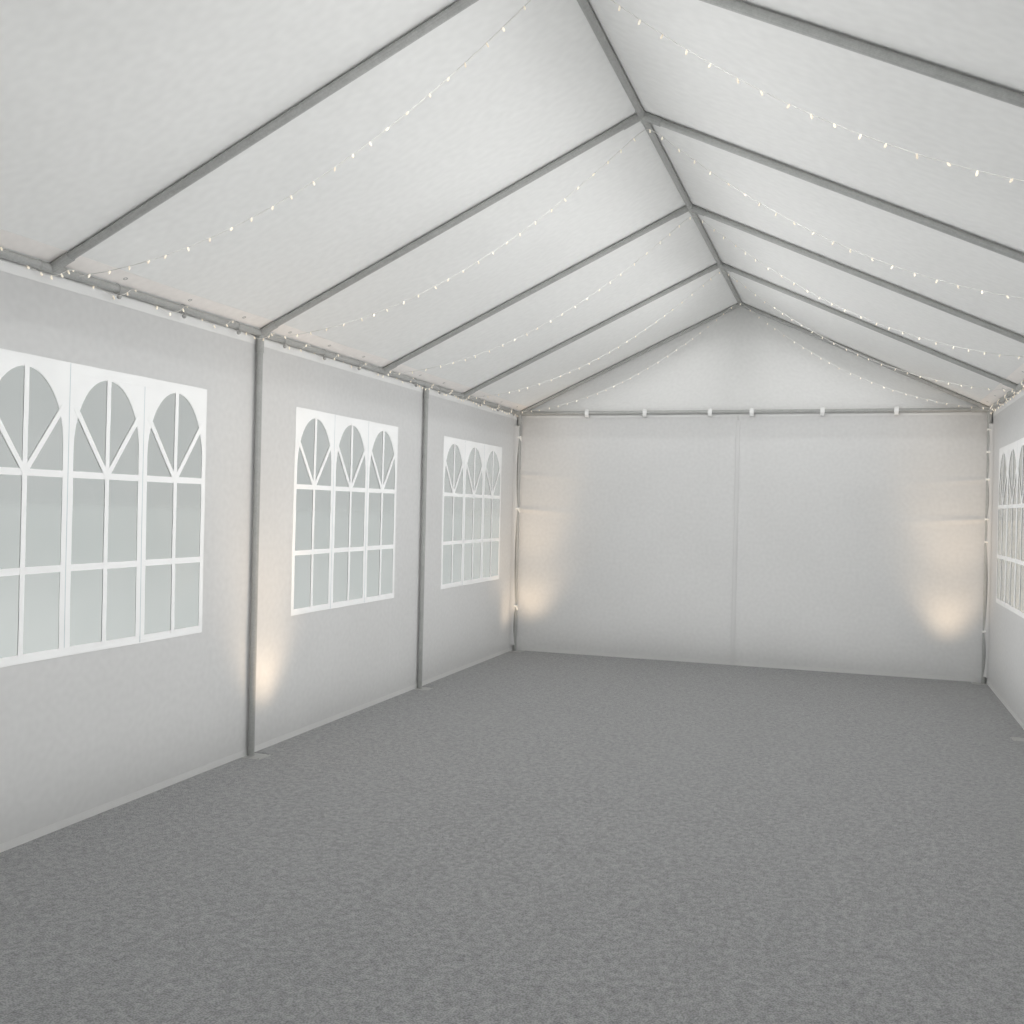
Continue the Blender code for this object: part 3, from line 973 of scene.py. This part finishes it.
def wall_band(side, face, low, high):
    """A hem along a whole side, between two heights; face is 1 outside and -1 inside."""
    return make_strip(
        lambda u, v: on_wall(
            side, (beam_end - 0.001) * (2 * u - 1), low + (high - low) * v, face * hem_off
        ),
        140, 1,
    )


for side_name, side in sides:
    seam_rows = [-beam_end + edge_width / 2, *post_rows[1:-1], beam_end - edge_width / 2]
    sew_on(
        [wall_seam(side, y) for y in seam_rows], f"wall_seams_{side_name}", "wall_cloth",
        seam_finish,
    )
    sew_on(
        [wall_band(side, face, wall_floor, foot_top) for face in (-1, 1)],
        f"wall_foot_{side_name}", "wall_cloth", foot_finish,
    )
    hem_top = eave_height - tube_radius
    sew_on(
        [wall_band(side, -1, hem_top - top_width, hem_top)], f"wall_hem_{side_name}",
        "wall_cloth", pale_finish,
    )


# Windows: each bay has one clear film welded between two white surrounds with three arched lights
# and glazing bars. The surrounds are cut from bright white sheet and stand out from the wall.
light_width = 0.36
rail_bottom = 0.035
rail_top = 0.045
arch_rise = 0.29
surround_thick = 0.0012


def make_film_finish():
    """Clear soft film with slow ripples that bend what is reflected in it."""
    material, nodes, _, place, _ = mottled(
        "clear_film", 0.06, 3.0, (0.93, 0.96, 0.94), (0.89, 0.93, 0.91),
        Transmission_Weight=1.0, IOR=1.38,
    )
    waves = add_node(nodes, "TexNoise", Vector=place.outputs["Object"], Scale=4.0, Detail=1.0)
    add_bump(nodes, waves.outputs["Fac"], 0.25, 0.004)
    return material


def flat_outline(outlines, depth):
    """A flat sheet in the YZ plane from closed outlines, the first the edge, the rest holes."""
    curve = bpy.data.curves.new("outline", "CURVE")
    curve.dimensions = "2D"
    curve.fill_mode = "BOTH"
    curve.extrude = depth / 2
    for outline in outlines:
        line = curve.splines.new("POLY")
        line.points.add(len(outline) - 1)
        line.use_cyclic_u = True
        for point, (u, v) in zip(line.points, outline):
            point.co = (u, v, 0.0, 1.0)
    pick(put_in_scene("outline", curve))
    bpy.ops.object.convert(target="MESH")
    piece = bpy.context.object
    piece.matrix_world = Matrix(((0, 0, 1, 0), (1, 0, 0, 0), (0, 1, 0, 0), (0, 0, 0, 1)))
    bpy.ops.object.transform_apply()
    edit_all(
        (bpy.ops.mesh.remove_doubles, {"threshold": 0.00005}),
        (bpy.ops.mesh.normals_make_consistent, {"inside": False}),
    )
    return piece


def arch_outline(centre):
    """One light: straight sides under a half ellipse."""
    half = light_width / 2
    bottom = group_bottom + rail_bottom
    spring = group_top - rail_top - arch_rise
    points = [(centre - half, bottom), (centre + half, bottom)]
    for i in range(25):
        angle = math.pi * i / 24
        points.append((centre + half * math.cos(angle), spring + arch_rise * math.sin(angle)))
    return points


def dense(outline, gap=0.03):
    """The same outline with points added along its long edges."""
    found = []
    for a, b in zip(outline, outline[1:] + outline[:1]):
        count = max(1, math.ceil(math.dist(a, b) / gap))
        found += [tuple(Vector(a).lerp(Vector(b), i / count)) for i in range(count)]
    return found


def strip(a, b, width):
    """A straight bar's outline between two points."""
    a, b = Vector(a), Vector(b)
    across = Vector((-(b - a).y, (b - a).x)).normalized() * width / 2
    return [tuple(a - across), tuple(b - across), tuple(b + across), tuple(a + across)]


def cut_sheet(outlines, thick, off):
    """A flat piece cut to its outlines, standing off by a distance along X."""
    piece = flat_outline([dense(outline) for outline in outlines], thick)
    for vertex in piece.data.vertices:
        vertex.co.x += off
    return piece


def model_window_trim():
    """Both surrounds and the bars of one window group, centred on x 0 and y 0."""
    edge = [(-group_half, group_bottom), (group_half, group_bottom)]
    edge += [(group_half, group_top), (-group_half, group_top)]
    centres = [(i - 1) * light_pitch for i in range(3)]
    half = light_width / 2
    upper = group_top - 0.38 * (group_top - group_bottom)
    lower = group_top - 0.70 * (group_top - group_bottom)
    parts = []
    for face in (-1, 1):
        outlines = [edge] + [arch_outline(centre) for centre in centres]
        parts.append(cut_sheet(outlines, surround_thick, face * 0.0014))
        edit_all((bpy.ops.mesh.subdivide, {"number_cuts": 1}))
        for centre in centres:
            bars = [
                strip((centre - half - 0.01, height), (centre + half + 0.01, height), 0.027)
                for height in (upper, lower)
            ]
            foot, head = (centre, group_bottom + 0.02), (centre, group_top - rail_top + 0.01)
            bars.append(strip(foot, head, 0.022))
            for way in (-1, 1):
                tip = (centre + way * half * 0.99, upper + 0.27)
                bars.append(strip((centre, upper), tip, 0.022))
            for number, bar in enumerate(bars):
                parts.append(cut_sheet([bar], surround_thick, face * (0.0015 + 0.0002 * number)))
    trim = join_pieces(parts)
    for vertex in trim.data.vertices:
        y, z = vertex.co.y * 5.0, vertex.co.z * 5.0
        vertex.co.y += 0.0022 * ripple(0.0, y, z)
        vertex.co.z += 0.0022 * ripple(9.0, y, z)
    return trim


def model_window_joints():
    """The two thin welded joints between a group's lights, on both faces."""
    return join_pieces([
        cut_sheet(
            [strip((centre, group_bottom + 0.003), (centre, group_top - 0.003), 0.0035)],
            0.0005, face * 0.0020,
        )
        for centre in (-light_pitch / 2, light_pitch / 2) for face in (-1, 1)
    ])


# The cooler grey of a seam between two sheets, and the bright white welded sheet itself.
joint_finish, *_ = mottled("sheet_joint", 0.5, 12.0, (0.60, 0.66, 0.68), (0.50, 0.56, 0.58))
trim_finish, *_ = mottled(
    "surround_sheet", 0.42, 5.0, (0.88, 0.885, 0.88), (0.84, 0.845, 0.84), relief=(0.15, 0.0006)
)
film_finish = make_film_finish()
trim_model = model_window_trim()
joint_model = model_window_joints()


def film_point(u, v, side, centre):
    """A point on the clear film, which follows the wall's slow waves."""
    y = centre + (2 * u - 1) * (group_half - 0.008)
    return on_wall(side, y, group_bottom + 0.008 + (group_top - group_bottom - 0.016) * v)


def hang_in_wall(model, side, centre):
    """A copy of a window piece, moved to its bay and bent to the wall's waves."""
    piece = put_in_scene("copy", model.data.copy())
    for vertex in piece.data.vertices:
        off = Vector((vertex.co.x, 0.0, 0.0))
        vertex.co = on_wall(side, centre + vertex.co.y, vertex.co.z) + off
    return piece


for side_name, side in sides:
    for number, centre in enumerate(bay_centres, 1):
        bay = f"{side_name}_{number}"
        for part, model, finish in (
            ("surround", trim_model, trim_finish), ("joints", joint_model, joint_finish)
        ):
            piece = hang_in_wall(model, side, centre)
            fit_out(piece, f"window_{part}_{bay}", "trim_white", finish)
        film = sheet_from_grid(40, 36, lambda u, v: film_point(u, v, side, centre))
        thicken(film, 0.0004)
        fit_out(film, f"window_film_{bay}", "window_film", film_finish)
        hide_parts(f"window_{bay}")
bpy.data.objects.remove(trim_model, do_unlink=True)
bpy.data.objects.remove(joint_model, do_unlink=True)


# Rear wall: two halves of wall cloth, hung from the rear tie and hemmed top and bottom. They are
# drawn to the corner posts, and meet at a zip up the middle.
rear_plane = rear_in + 0.0028
tie_heights = (1.32, 1.64)
crease_depths = (0.0160, 0.0110)
top_creases = ((0.50, 0.87, 0.0070), (0.80, 0.60, 0.0055))
hem_height = 0.020


def rear_creases(x, z):
    """Creases that fan out from the ties and the top corners, deepest near them."""
    across = wall_out - abs(x)
    below = wall_top - z
    pull = 0.0
    for height, depth in zip(tie_heights, crease_depths):
        line = (z - height + 0.06 * across) / (0.012 + 0.05 * across)
        pull += depth * math.exp(-line * line - across / 0.45)
    for along, down, depth in top_creases:
        reach = math.hypot(across, below)
        line = (across * down - below * along) / (0.010 + 0.07 * reach)
        pull += depth * math.exp(-line * line - reach / 0.30)
    return pull


def rear_point(u, v, low, high):
    """A point on one half of the rear wall, with slow vertical waves and the creases."""
    x = low + (high - low) * u
    z = wall_floor + (wall_top - wall_floor) * v
    loose = math.sin(math.pi * v) * min(1.0, abs(x) / 0.10) * min(1.0, (wall_out - abs(x)) / 0.10)
    wave = 0.0070 * ripple(x * 1.6, 7.0, z * 0.4) + 0.0012 * ripple(x * 6.0, 3.0, z * 1.1)
    held = min(1.0, max(0.0, wall_out - abs(x)) / 0.12) * min(1.0, (wall_top - z) / 0.06)
    return Vector((x, rear_plane + wave * max(0.0, loose) - rear_creases(x, z) * held, z))


# Painted light: the rear halves are the side walls' cloth, made a little lighter to stand in for
# the light on the rear wall.
rear_painted_light_finish = make_cloth_finish(
    "rear_cloth_painted_light", (0.76, 0.76, 0.755), (0.73, 0.73, 0.725), 0.30, (2.03, 2.21)
)
for side_name, side in sides:
    ends = sorted((side * 0.004, side * (wall_out - 0.001)))
    rear = thicken(sheet_from_grid(70, 180, lambda u, v: rear_point(u, v, *ends)), cloth_thick)
    fit_out(rear, f"rear_sheet_{side_name}", "wall_cloth", rear_painted_light_finish)
    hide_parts(f"rear_wall_{side_name}")


def rear_band(face, low, high, reach):
    """A hem across the whole rear wall, between two heights; face is 1 outside and -1 inside."""
    off = face * (cloth_thick / 2 + 0.0008)
    return make_strip(
        lambda u, v: Vector((reach * (2 * u - 1), rear_plane + off, low + (high - low) * v)), 60, 1
    )


band_reach = 1.94
hem_top = eave_height - tube_radius - 0.004
feet = [
    rear_band(1, wall_floor, foot_top, wall_out - 0.002),
    rear_band(-1, wall_floor, foot_top, band_reach),
]
sew_on(
    feet, "rear_foot", "wall_cloth", foot_finish,
)
sew_on(
    [rear_band(-1, hem_top - hem_height, hem_top, band_reach)], "rear_hem", "wall_cloth",
    pale_finish,
)


# Corner flaps: each side wall's rear edge is turned in over the corner post and tied round it with
# white cloth tapes. It is drawn furthest round at the tapes and slips back between them.
flap_top = 2.085
flap_floor = 0.06
flap_start = half_length - 0.085
flap_plane = half_length - socket_radius - 0.0032
tape_heights = {"left": (0.42, 1.32, 1.98), "right": (0.42, 1.14, 1.32, 1.64, 1.86, 2.04)}
tape_width = 0.016


def flap_edge(z, heights):
    """How far past the post's middle line the flap's edge lies at a height."""
    stops = [flap_floor, *heights, flap_top]
    for low, high in zip(stops, stops[1:]):
        if z <= high:
            share = (z - low) / (high - low)
            slip = min(0.020, 0.05 * (high - low))
            return 0.010 - slip * math.sin(math.pi * share) ** 0.7
    return 0.010


def flap_point(u, v, side, heights):
    """A point on the flap: off the wall, round the corner, in front of the post."""
    z = flap_floor + (flap_top - flap_floor) * v
    far = wall_plane - 0.0016
    near = half_width - flap_edge(z, heights)
    turn = u * math.pi / 2
    x = far - (far - near) * (1.0 - math.cos(turn))
    y = flap_start + (flap_plane - flap_start) * math.sin(turn)
    return Vector((side * x, y - 0.0012 * math.sin(math.pi * u) * math.sin(z * 23.0), z))


def model_tape(radius):
    """One tied tape round a post at the origin: a band, a knot towards -Y and two short ends."""
    clear_selection()
    bpy.ops.mesh.primitive_cylinder_add(
        vertices=28, radius=radius, depth=tape_width, end_fill_type="NOTHING"
    )
    band = bpy.context.object
    for vertex in band.data.vertices:
        vertex.co.z += 0.10 * vertex.co.x
        vertex.co.y -= 0.0035 if vertex.co.y < 0 else 0.0
    thicken(band, 0.0012)
    clear_selection()
    bpy.ops.mesh.primitive_uv_sphere_add(
        segments=12, ring_count=8, radius=0.0085, location=(0.0, -radius - 0.0065, 0.0)
    )
    knot = bpy.context.object
    for vertex in knot.data.vertices:
        vertex.co *= 1.0 + 0.35 * ripple(*vertex.co * 260.0)
        vertex.co.x *= 1.25
        vertex.co.y *= 0.75
    bpy.ops.object.shade_smooth()
    parts = [band, knot]
    for way in (-1, 1):
        clear_selection()
        bpy.ops.mesh.primitive_grid_add(x_subdivisions=2, y_subdivisions=7, size=1.0)
        tail = bpy.context.object
        for vertex in tail.data.vertices:
            share = vertex.co.y + 0.5
            vertex.co = Vector((
                way * (0.006 + 0.026 * share) + vertex.co.x * 0.009,
                -radius - 0.0075 - 0.004 * math.sin(3.0 * share),
                -0.030 * share * share * (1.0 + 0.25 * way) + vertex.co.x * 0.011,
            ))
        parts.append(thicken(tail, 0.0011))
    return join_pieces(parts)


tape_finish = make_cloth_finish(
    "tape_cloth", (0.92, 0.92, 0.90), (0.86, 0.86, 0.84), 0.05, (0.016, 0.30)
)
tape_model = model_tape(tube_radius + 0.0045)
for side_name, side in sides:
    heights = tape_heights[side_name]
    sew_on(
        [make_strip(lambda u, v: flap_point(u, v, side, heights), 8, 120)],
        f"corner_flap_{side_name}", "wall_cloth", wall_finish,
    )
    tapes = strew(
        f"corner_tapes_{side_name}",
        tape_model,
        [Matrix.Translation((side * half_width, half_length, height)) for height in heights],
    )
    fit_out(tapes, f"corner_tapes_{side_name}", "trim_white", tape_finish)
bpy.data.objects.remove(tape_model, do_unlink=True)


# Front wall halves: drawn aside, gathered in pleats under the front tie and held back against the
# corner posts by a cloth band at waist height.
curtain_floor = 0.016
curtain_top = eave_height - socket_radius - fit_gap
curtain_y = -half_length + 0.015
waist = 1.15
post_side = half_width - socket_radius - fit_gap
pleats = 13


def eased(low, high, share):
    """A smooth step from one value to another."""
    share = min(max(share, 0.0), 1.0)
    return low + (high - low) * share * share * (3 - 2 * share)


def curtain_width(z):
    """Width of the bunched wall half at a height."""
    if z > waist:
        return eased(0.20, 0.46, (z - waist) / (curtain_top - waist))
    return eased(0.20, 0.34, (waist - z) / (waist - curtain_floor))


def curtain_point(u, v, side):
    """A point on the pleated cloth; pleats run down the sheet and crowd in at the band."""
    z = curtain_floor + (curtain_top - curtain_floor) * v
    width = curtain_width(z) - 0.012
    deep = eased(0.100, 0.030, (z - valance_bottom + 0.23) / 0.23) / 2
    middle = side * (post_side - curtain_width(z) / 2)
    phase = 2 * math.pi * pleats * (u + 0.002 * ripple(u * 5.0, v * 2.0, side * 2.0))
    swell = 1.0 - 0.25 * abs(2 * u - 1)
    fold = math.sin(phase) * deep * swell * (0.86 + 0.14 * ripple(u * 19.0, v * 3.0, 1.0))
    lean = 0.16 * width / pleats * math.sin(2 * phase)
    x = middle + side * (0.5 - u) * width * 0.96 + lean
    return Vector((x, curtain_y + fold, z))


curtain_finish = make_cloth_finish(
    "curtain_cloth", (0.74, 0.74, 0.735), (0.70, 0.70, 0.695), 0.25, (2.03, 2.16)
)
for side_name, side in sides:
    curtain = thicken(
        sheet_from_grid(pleats * 12, 48, lambda u, v: curtain_point(u, v, side)), 0.0012
    )
    band_x = side * (post_side - 0.10)
    clear_selection()
    bpy.ops.mesh.primitive_cylinder_add(
        vertices=40, radius=1.0, depth=0.05, end_fill_type="NOTHING", location=(0, 0, 0)
    )
    band = bpy.context.object
    edit_all((bpy.ops.mesh.subdivide, {"number_cuts": 2}))
    for vertex in band.data.vertices:
        pull = 1.0 - 0.05 * abs(vertex.co.z) / 0.025
        dip = 0.006 * math.cos(math.atan2(vertex.co.y, vertex.co.x))
        vertex.co = Vector((
            band_x + vertex.co.x * 0.101 * pull,
            curtain_y + vertex.co.y * 0.055 * pull,
            waist + vertex.co.z + dip * side,
        ))
    thicken(band, 0.0016)
    fit_out(band, f"curtain_band_{side_name}", "wall_cloth", curtain_finish)
    fit_out(curtain, f"curtain_sheet_{side_name}", "wall_cloth", curtain_finish)
    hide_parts(f"front_curtain_{side_name}")


# Carpet: grey loop pile with a flat back, laid over the whole floor in one piece and cut out round
# the posts' foot plates. Its edges are cut clean.
carpet_thick = 0.005


def make_carpet_finish():
    """Short grey loops: a tight cell relief, a finer fibre noise, slow wear in the colour and
    painted shade between the loops.
    """
    material, nodes, shader, place, look = mottled(
        "loop_carpet", 0.95, 45.0, (0.345, 0.349, 0.351), (0.205, 0.208, 0.211), Sheen_Weight=0.25
    )
    loops = add_node(nodes, "TexVoronoi", Vector=place.outputs["Object"], Scale=160.0)
    loops.voronoi_dimensions = "2D"
    yarn = add_node(nodes, "TexNoise", Vector=place.outputs["Object"], Scale=420.0, Detail=1.0)
    yarn.noise_dimensions = "2D"
    far = loops.outputs["Distance"]
    # Painted shade and light: the colour darkens from each loop's top down into the gaps between
    # loops.
    tone = add_node(nodes, "MapRange", Value=far, From_Max=0.8, To_Min=1.18, To_Max=0.62)
    shaded = mix_colours(nodes, "MULTIPLY", 1.0, look.outputs["Color"], tone.outputs["Result"])
    feed(shader.inputs["Base Color"], shaded)
    fibre = math_node(nodes, "MULTIPLY", yarn.outputs["Fac"], 0.5)
    dome = math_node(nodes, "SUBTRACT", 1.0, far)
    add_bump(nodes, math_node(nodes, "ADD", dome, fibre), 0.8, 0.003)
    return material


carpet_finish = make_carpet_finish()
edge_x = wall_in - fit_gap
front_y = -half_length - frame_out
back_y = rear_in - fit_gap
carpet = add_block(
    (0, (front_y + back_y) / 2, carpet_thick / 2), (2 * edge_x, back_y - front_y, carpet_thick)
)
for side in (-1, 1):
    for y in post_rows:
        low_y, high_y = plate_rows(y)
        low_y -= plate_size if y == post_rows[0] else 0.0
        high_y += plate_size if y == post_rows[-1] else 0.0
        inner = half_width + frame_out - plate_size - 0.003
        outer = edge_x + plate_size
        notch = add_block(
            (side * (inner + outer) / 2, (low_y + high_y) / 2, 0.0),
            (outer - inner, high_y - low_y + 0.006, 0.04),
        )
        cut_away(carpet, notch)
pick(carpet)
apply_modifier(carpet, "BEVEL", width=0.0015, segments=2, limit_method="ANGLE")
fit_out(carpet, "carpet_sheet", "carpet_pile", carpet_finish)
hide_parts("floor_carpet")


# Zip: a coil zip closes the rear wall's halves behind a narrow cover strip of the wall's cloth,
# which is sewn down along both edges. Only the strip and the pull at its foot show.
# Painted light: the cover strip takes the rear wall's lightened tone rather than the side walls'
# cloth tone.
zip_painted_light_finish = make_cloth_finish(
    "zip_cover_painted_light", (0.76, 0.76, 0.755), (0.72, 0.72, 0.715), 0.28, (0.034, 2.1)
)
zip_foot = wall_floor + 0.01
zip_top = 2.13
zip_parts = []
zip_tapes = ((0.0, 0.034, 0.0011), (-0.0155, 0.0030, 0.0030), (0.0155, 0.0022, 0.0026))
for offset, width, depth in zip_tapes:
    tape = add_block(
        (offset, rear_plane - 0.0022, (zip_foot + zip_top) / 2), (width, depth, zip_top - zip_foot)
    )
    apply_modifier(tape, "BEVEL", width=depth * 0.3, segments=2)
    zip_parts.append(tape)
clear_selection()
bpy.ops.mesh.primitive_torus_add(
    major_segments=16, minor_segments=6, major_radius=0.007, minor_radius=0.0014,
    location=(0.0, rear_plane - 0.006, 0.075), rotation=(math.pi / 2, 0, 0),
)
bpy.ops.object.shade_smooth()
zip_parts.append(bpy.context.object)
fit_out(join_pieces(zip_parts), "rear_zip", "trim_white", zip_painted_light_finish)


# Straps: six short white cloth straps carry the rear wall and the gable's hem. Each leaves the
# cloth above the rear tie, lies over the tube on the inside and joins the cloth again below it.
strap_places = [-1.352, -0.818, -0.241, 0.118, 0.705, 1.291]
strap_width = 0.036
strap_half = 0.036
strap_plane = rear_plane - 0.0030
strap_reach = strap_plane - (half_length - tube_radius - 0.0022)
strap_finish = make_cloth_finish(
    "strap_cloth", (0.76, 0.76, 0.75), (0.72, 0.72, 0.71), 0.02, (0.036, 0.15)
)


def strap_point(u, v, x):
    """A point on one strap, a flat loop over the tube's inner side."""
    angle = math.pi * (v - 0.5)
    return Vector((
        x + strap_width * (u - 0.5),
        strap_plane - strap_reach * max(0.0, math.cos(angle)) ** 0.6,
        eave_height - 0.004 + strap_half * math.sin(angle),
    ))


straps = join_pieces([
    thicken(sheet_from_grid(2, 24, lambda u, v: strap_point(u, v, x)), 0.0016)
    for x in strap_places
])
fit_out(straps, "rear_straps", "trim_white", strap_finish)


# Ball loops: an elastic loop with a ball passes through an eyelet in the roof hem and round the
# eave tube about every 40 cm, and draws the cover down.
def model_ball_loop():
    """One elastic loop round a tube along Y at the origin, its ball below on the +X side."""
    clear_selection()
    bpy.ops.mesh.primitive_torus_add(
        major_segments=28, minor_segments=6, major_radius=0.0200, minor_radius=0.0013,
        rotation=(math.pi / 2, 0, 0),
    )
    loop = bpy.context.object
    bpy.ops.object.shade_smooth()
    bpy.ops.mesh.primitive_uv_sphere_add(
        segments=12, ring_count=8, radius=0.0100, location=(0.0145, 0.0, -0.0345)
    )
    ball = bpy.context.object
    bpy.ops.object.shade_smooth()
    bpy.ops.mesh.primitive_cylinder_add(
        vertices=8, radius=0.0022, depth=0.016, location=(0.0135, 0.0, -0.0225)
    )
    knot = bpy.context.object
    bpy.ops.object.shade_smooth()
    return join_pieces([loop, ball, knot])


# Grey elastic with a moulded ball.
ball_finish, *_ = mottled(
    "ball_loop", 0.5, 80.0, (0.42, 0.42, 0.41), (0.34, 0.34, 0.33), relief=(0.2, 0.0005)
)
ball_model = model_ball_loop()
loop_rows = [-half_length + 0.2 + 0.4 * i for i in range(20)]
loop_rows = [y for y in loop_rows if min(abs(y - r) for r in post_rows + rafter_rows) > 0.075]
for side_name, side in sides:
    turned = Matrix.Identity(4) if side < 0 else Matrix.Rotation(math.pi, 4, "Z")
    places = [
        Matrix.Translation((side * half_width, y, eave_height)) @ turned for y in loop_rows
    ]
    loops = strew(f"ball_loops_{side_name}", ball_model, places)
    fit_out(loops, f"ball_loops_{side_name}", "trim_white", ball_finish)
bpy.data.objects.remove(ball_model, do_unlink=True)


# Eyelets: a grey metal ring is pressed through the roof's hem above each ball loop, so that the
# elastic doesn't tear the cloth.
def model_eyelet():
    """A flat pressed ring facing down, at the origin."""
    clear_selection()
    bpy.ops.mesh.primitive_torus_add(
        major_segments=16, minor_segments=6, major_radius=0.0075, minor_radius=0.0022
    )
    ring = bpy.context.object
    ring.scale = (1.0, 1.0, 0.5)
    bpy.ops.object.transform_apply()
    bpy.ops.object.shade_smooth()
    return ring


eyelet_model = model_eyelet()
eyelet_x = half_width - 0.045
for side_name, side in sides:
    lean = Matrix.Rotation(side * slope, 4, "Y")
    places = []
    for y in loop_rows:
        height = roof_under(eyelet_x) - roof_sag(eyelet_x, y) - 0.0022
        places.append(Matrix.Translation((side * eyelet_x, y, height)) @ lean)
    rings = strew(f"eyelets_{side_name}", eyelet_model, places)
    fit_out(rings, f"eyelets_{side_name}", "steel_tube", steel_finish)
bpy.data.objects.remove(eyelet_model, do_unlink=True)


# Studio: a plain pale floor under soft light from all round. Panels under the roof, along its
# middle and over the carpet stand in for the daylight that the cloth spreads inside, and warm
# beams fan up the walls from their foot.
bpy.ops.mesh.primitive_plane_add(size=300.0, location=(0, 0, -0.001))
floor = bpy.context.object
floor.name = "studio_floor"
floor_material, *_ = new_material("studio_floor", 0.9, Base_Color=(0.62, 0.62, 0.615, 1.0))
floor.data.materials.append(floor_material)

world = bpy.data.worlds.new("studio")
bpy.context.scene.world = world
world.use_nodes = True
nodes = world.node_tree.nodes
around = feed_all(nodes["Background"], {"Color": (0.98, 1.0, 1.0, 1.0), "Strength": 0.90})
backdrop = add_node(nodes, "Background", Color=(0.99, 1.0, 1.0, 1.0), Strength=0.54)
ray = nodes.new("ShaderNodeLightPath")
clear = math_node(nodes, "SUBTRACT", 1.0, ray.outputs["Is Diffuse Ray"])
through = math_node(nodes, "MULTIPLY", ray.outputs["Is Transmission Ray"], clear)
seen = math_node(nodes, "MAXIMUM", ray.outputs["Is Camera Ray"], through)
chosen = nodes.new("ShaderNodeMixShader")
for socket, value in zip(chosen.inputs, (seen, around.outputs[0], backdrop.outputs[0])):
    feed(socket, value)
feed(nodes["World Output"].inputs["Surface"], chosen.outputs[0])


def place_light(name, lamp, place, aim):
    """Put a light in the scene, turned to its aim and hidden from the camera."""
    lamp.cycles.use_multiple_importance_sampling = False
    light = put_in_scene(name, lamp)
    light.location = place
    light.rotation_euler = (Vector(aim) - Vector(place)).to_track_quat("-Z", "Y").to_euler()
    light.visible_camera = False
    light.visible_glossy = False
    light.visible_transmission = False


def add_panel(name, place, aim, size, watts):
    """A rectangular soft light."""
    lamp = bpy.data.lights.new(name, "AREA")
    lamp.shape = "RECTANGLE"
    lamp.size, lamp.size_y = size
    lamp.energy = watts
    place_light(name, lamp, place, aim)


def add_glow(name, place, aim, watts, angle):
    """A warm beam that fans up a wall's cloth."""
    lamp = bpy.data.lights.new(name, "SPOT")
    lamp.energy = watts
    lamp.color = (1.0, 0.75, 0.50)
    lamp.spot_size = math.radians(angle)
    lamp.spot_blend = 1.0
    lamp.shadow_soft_size = 0.09
    place_light(name, lamp, place, aim)


add_panel("key", (-8.0, -9.0, 9.0), (0, 0, 1.0), (6.0, 6.0), 900)
add_panel("under_roof_left", (-0.96, 0.8, 2.56), (-0.54, 0.8, 1.65), (6.2, 1.7), 25)
add_panel("under_roof_right", (0.96, 0.8, 2.56), (0.54, 0.8, 1.65), (6.2, 1.7), 25)
add_panel("middle_left", (0.11, 0.55, 2.35), (-2.0, 0.55, 2.0), (5.7, 0.5), 22)
add_panel("middle_right", (-0.11, 0.45, 2.35), (2.0, 0.45, 2.0), (5.9, 0.5), 23)
add_panel("over_carpet", (0, 0.2, 0.05), (0, 0.2, 3.0), (3.3, 7.0), 54)
add_glow("glow_rear_right", (1.71, 3.71, 0.10), (1.73, 4.02, 1.02), 22, 67.0)
add_glow("halo_rear_right", (1.70, 3.15, 0.10), (1.76, 4.02, 1.50), 44, 39.0)
add_glow("glow_rear_left", (-1.84, 3.70, 0.09), (-1.88, 4.02, 1.05), 18, 78.0)
add_glow("halo_rear_left", (-1.78, 3.15, 0.10), (-1.86, 4.02, 1.50), 46, 40.0)
add_glow("glow_left", (-1.78, 0.14, 0.09), (-2.03, 0.12, 0.90), 18, 76.0)
add_glow("halo_left", (-1.20, 0.17, 0.10), (-2.03, 0.14, 1.25), 25, 44.0)
bpy.context.scene.view_settings.view_transform = "Standard"
settings = bpy.context.scene.cycles
settings.use_light_tree = False
settings.max_bounces = 8
settings.transmission_bounces = 6
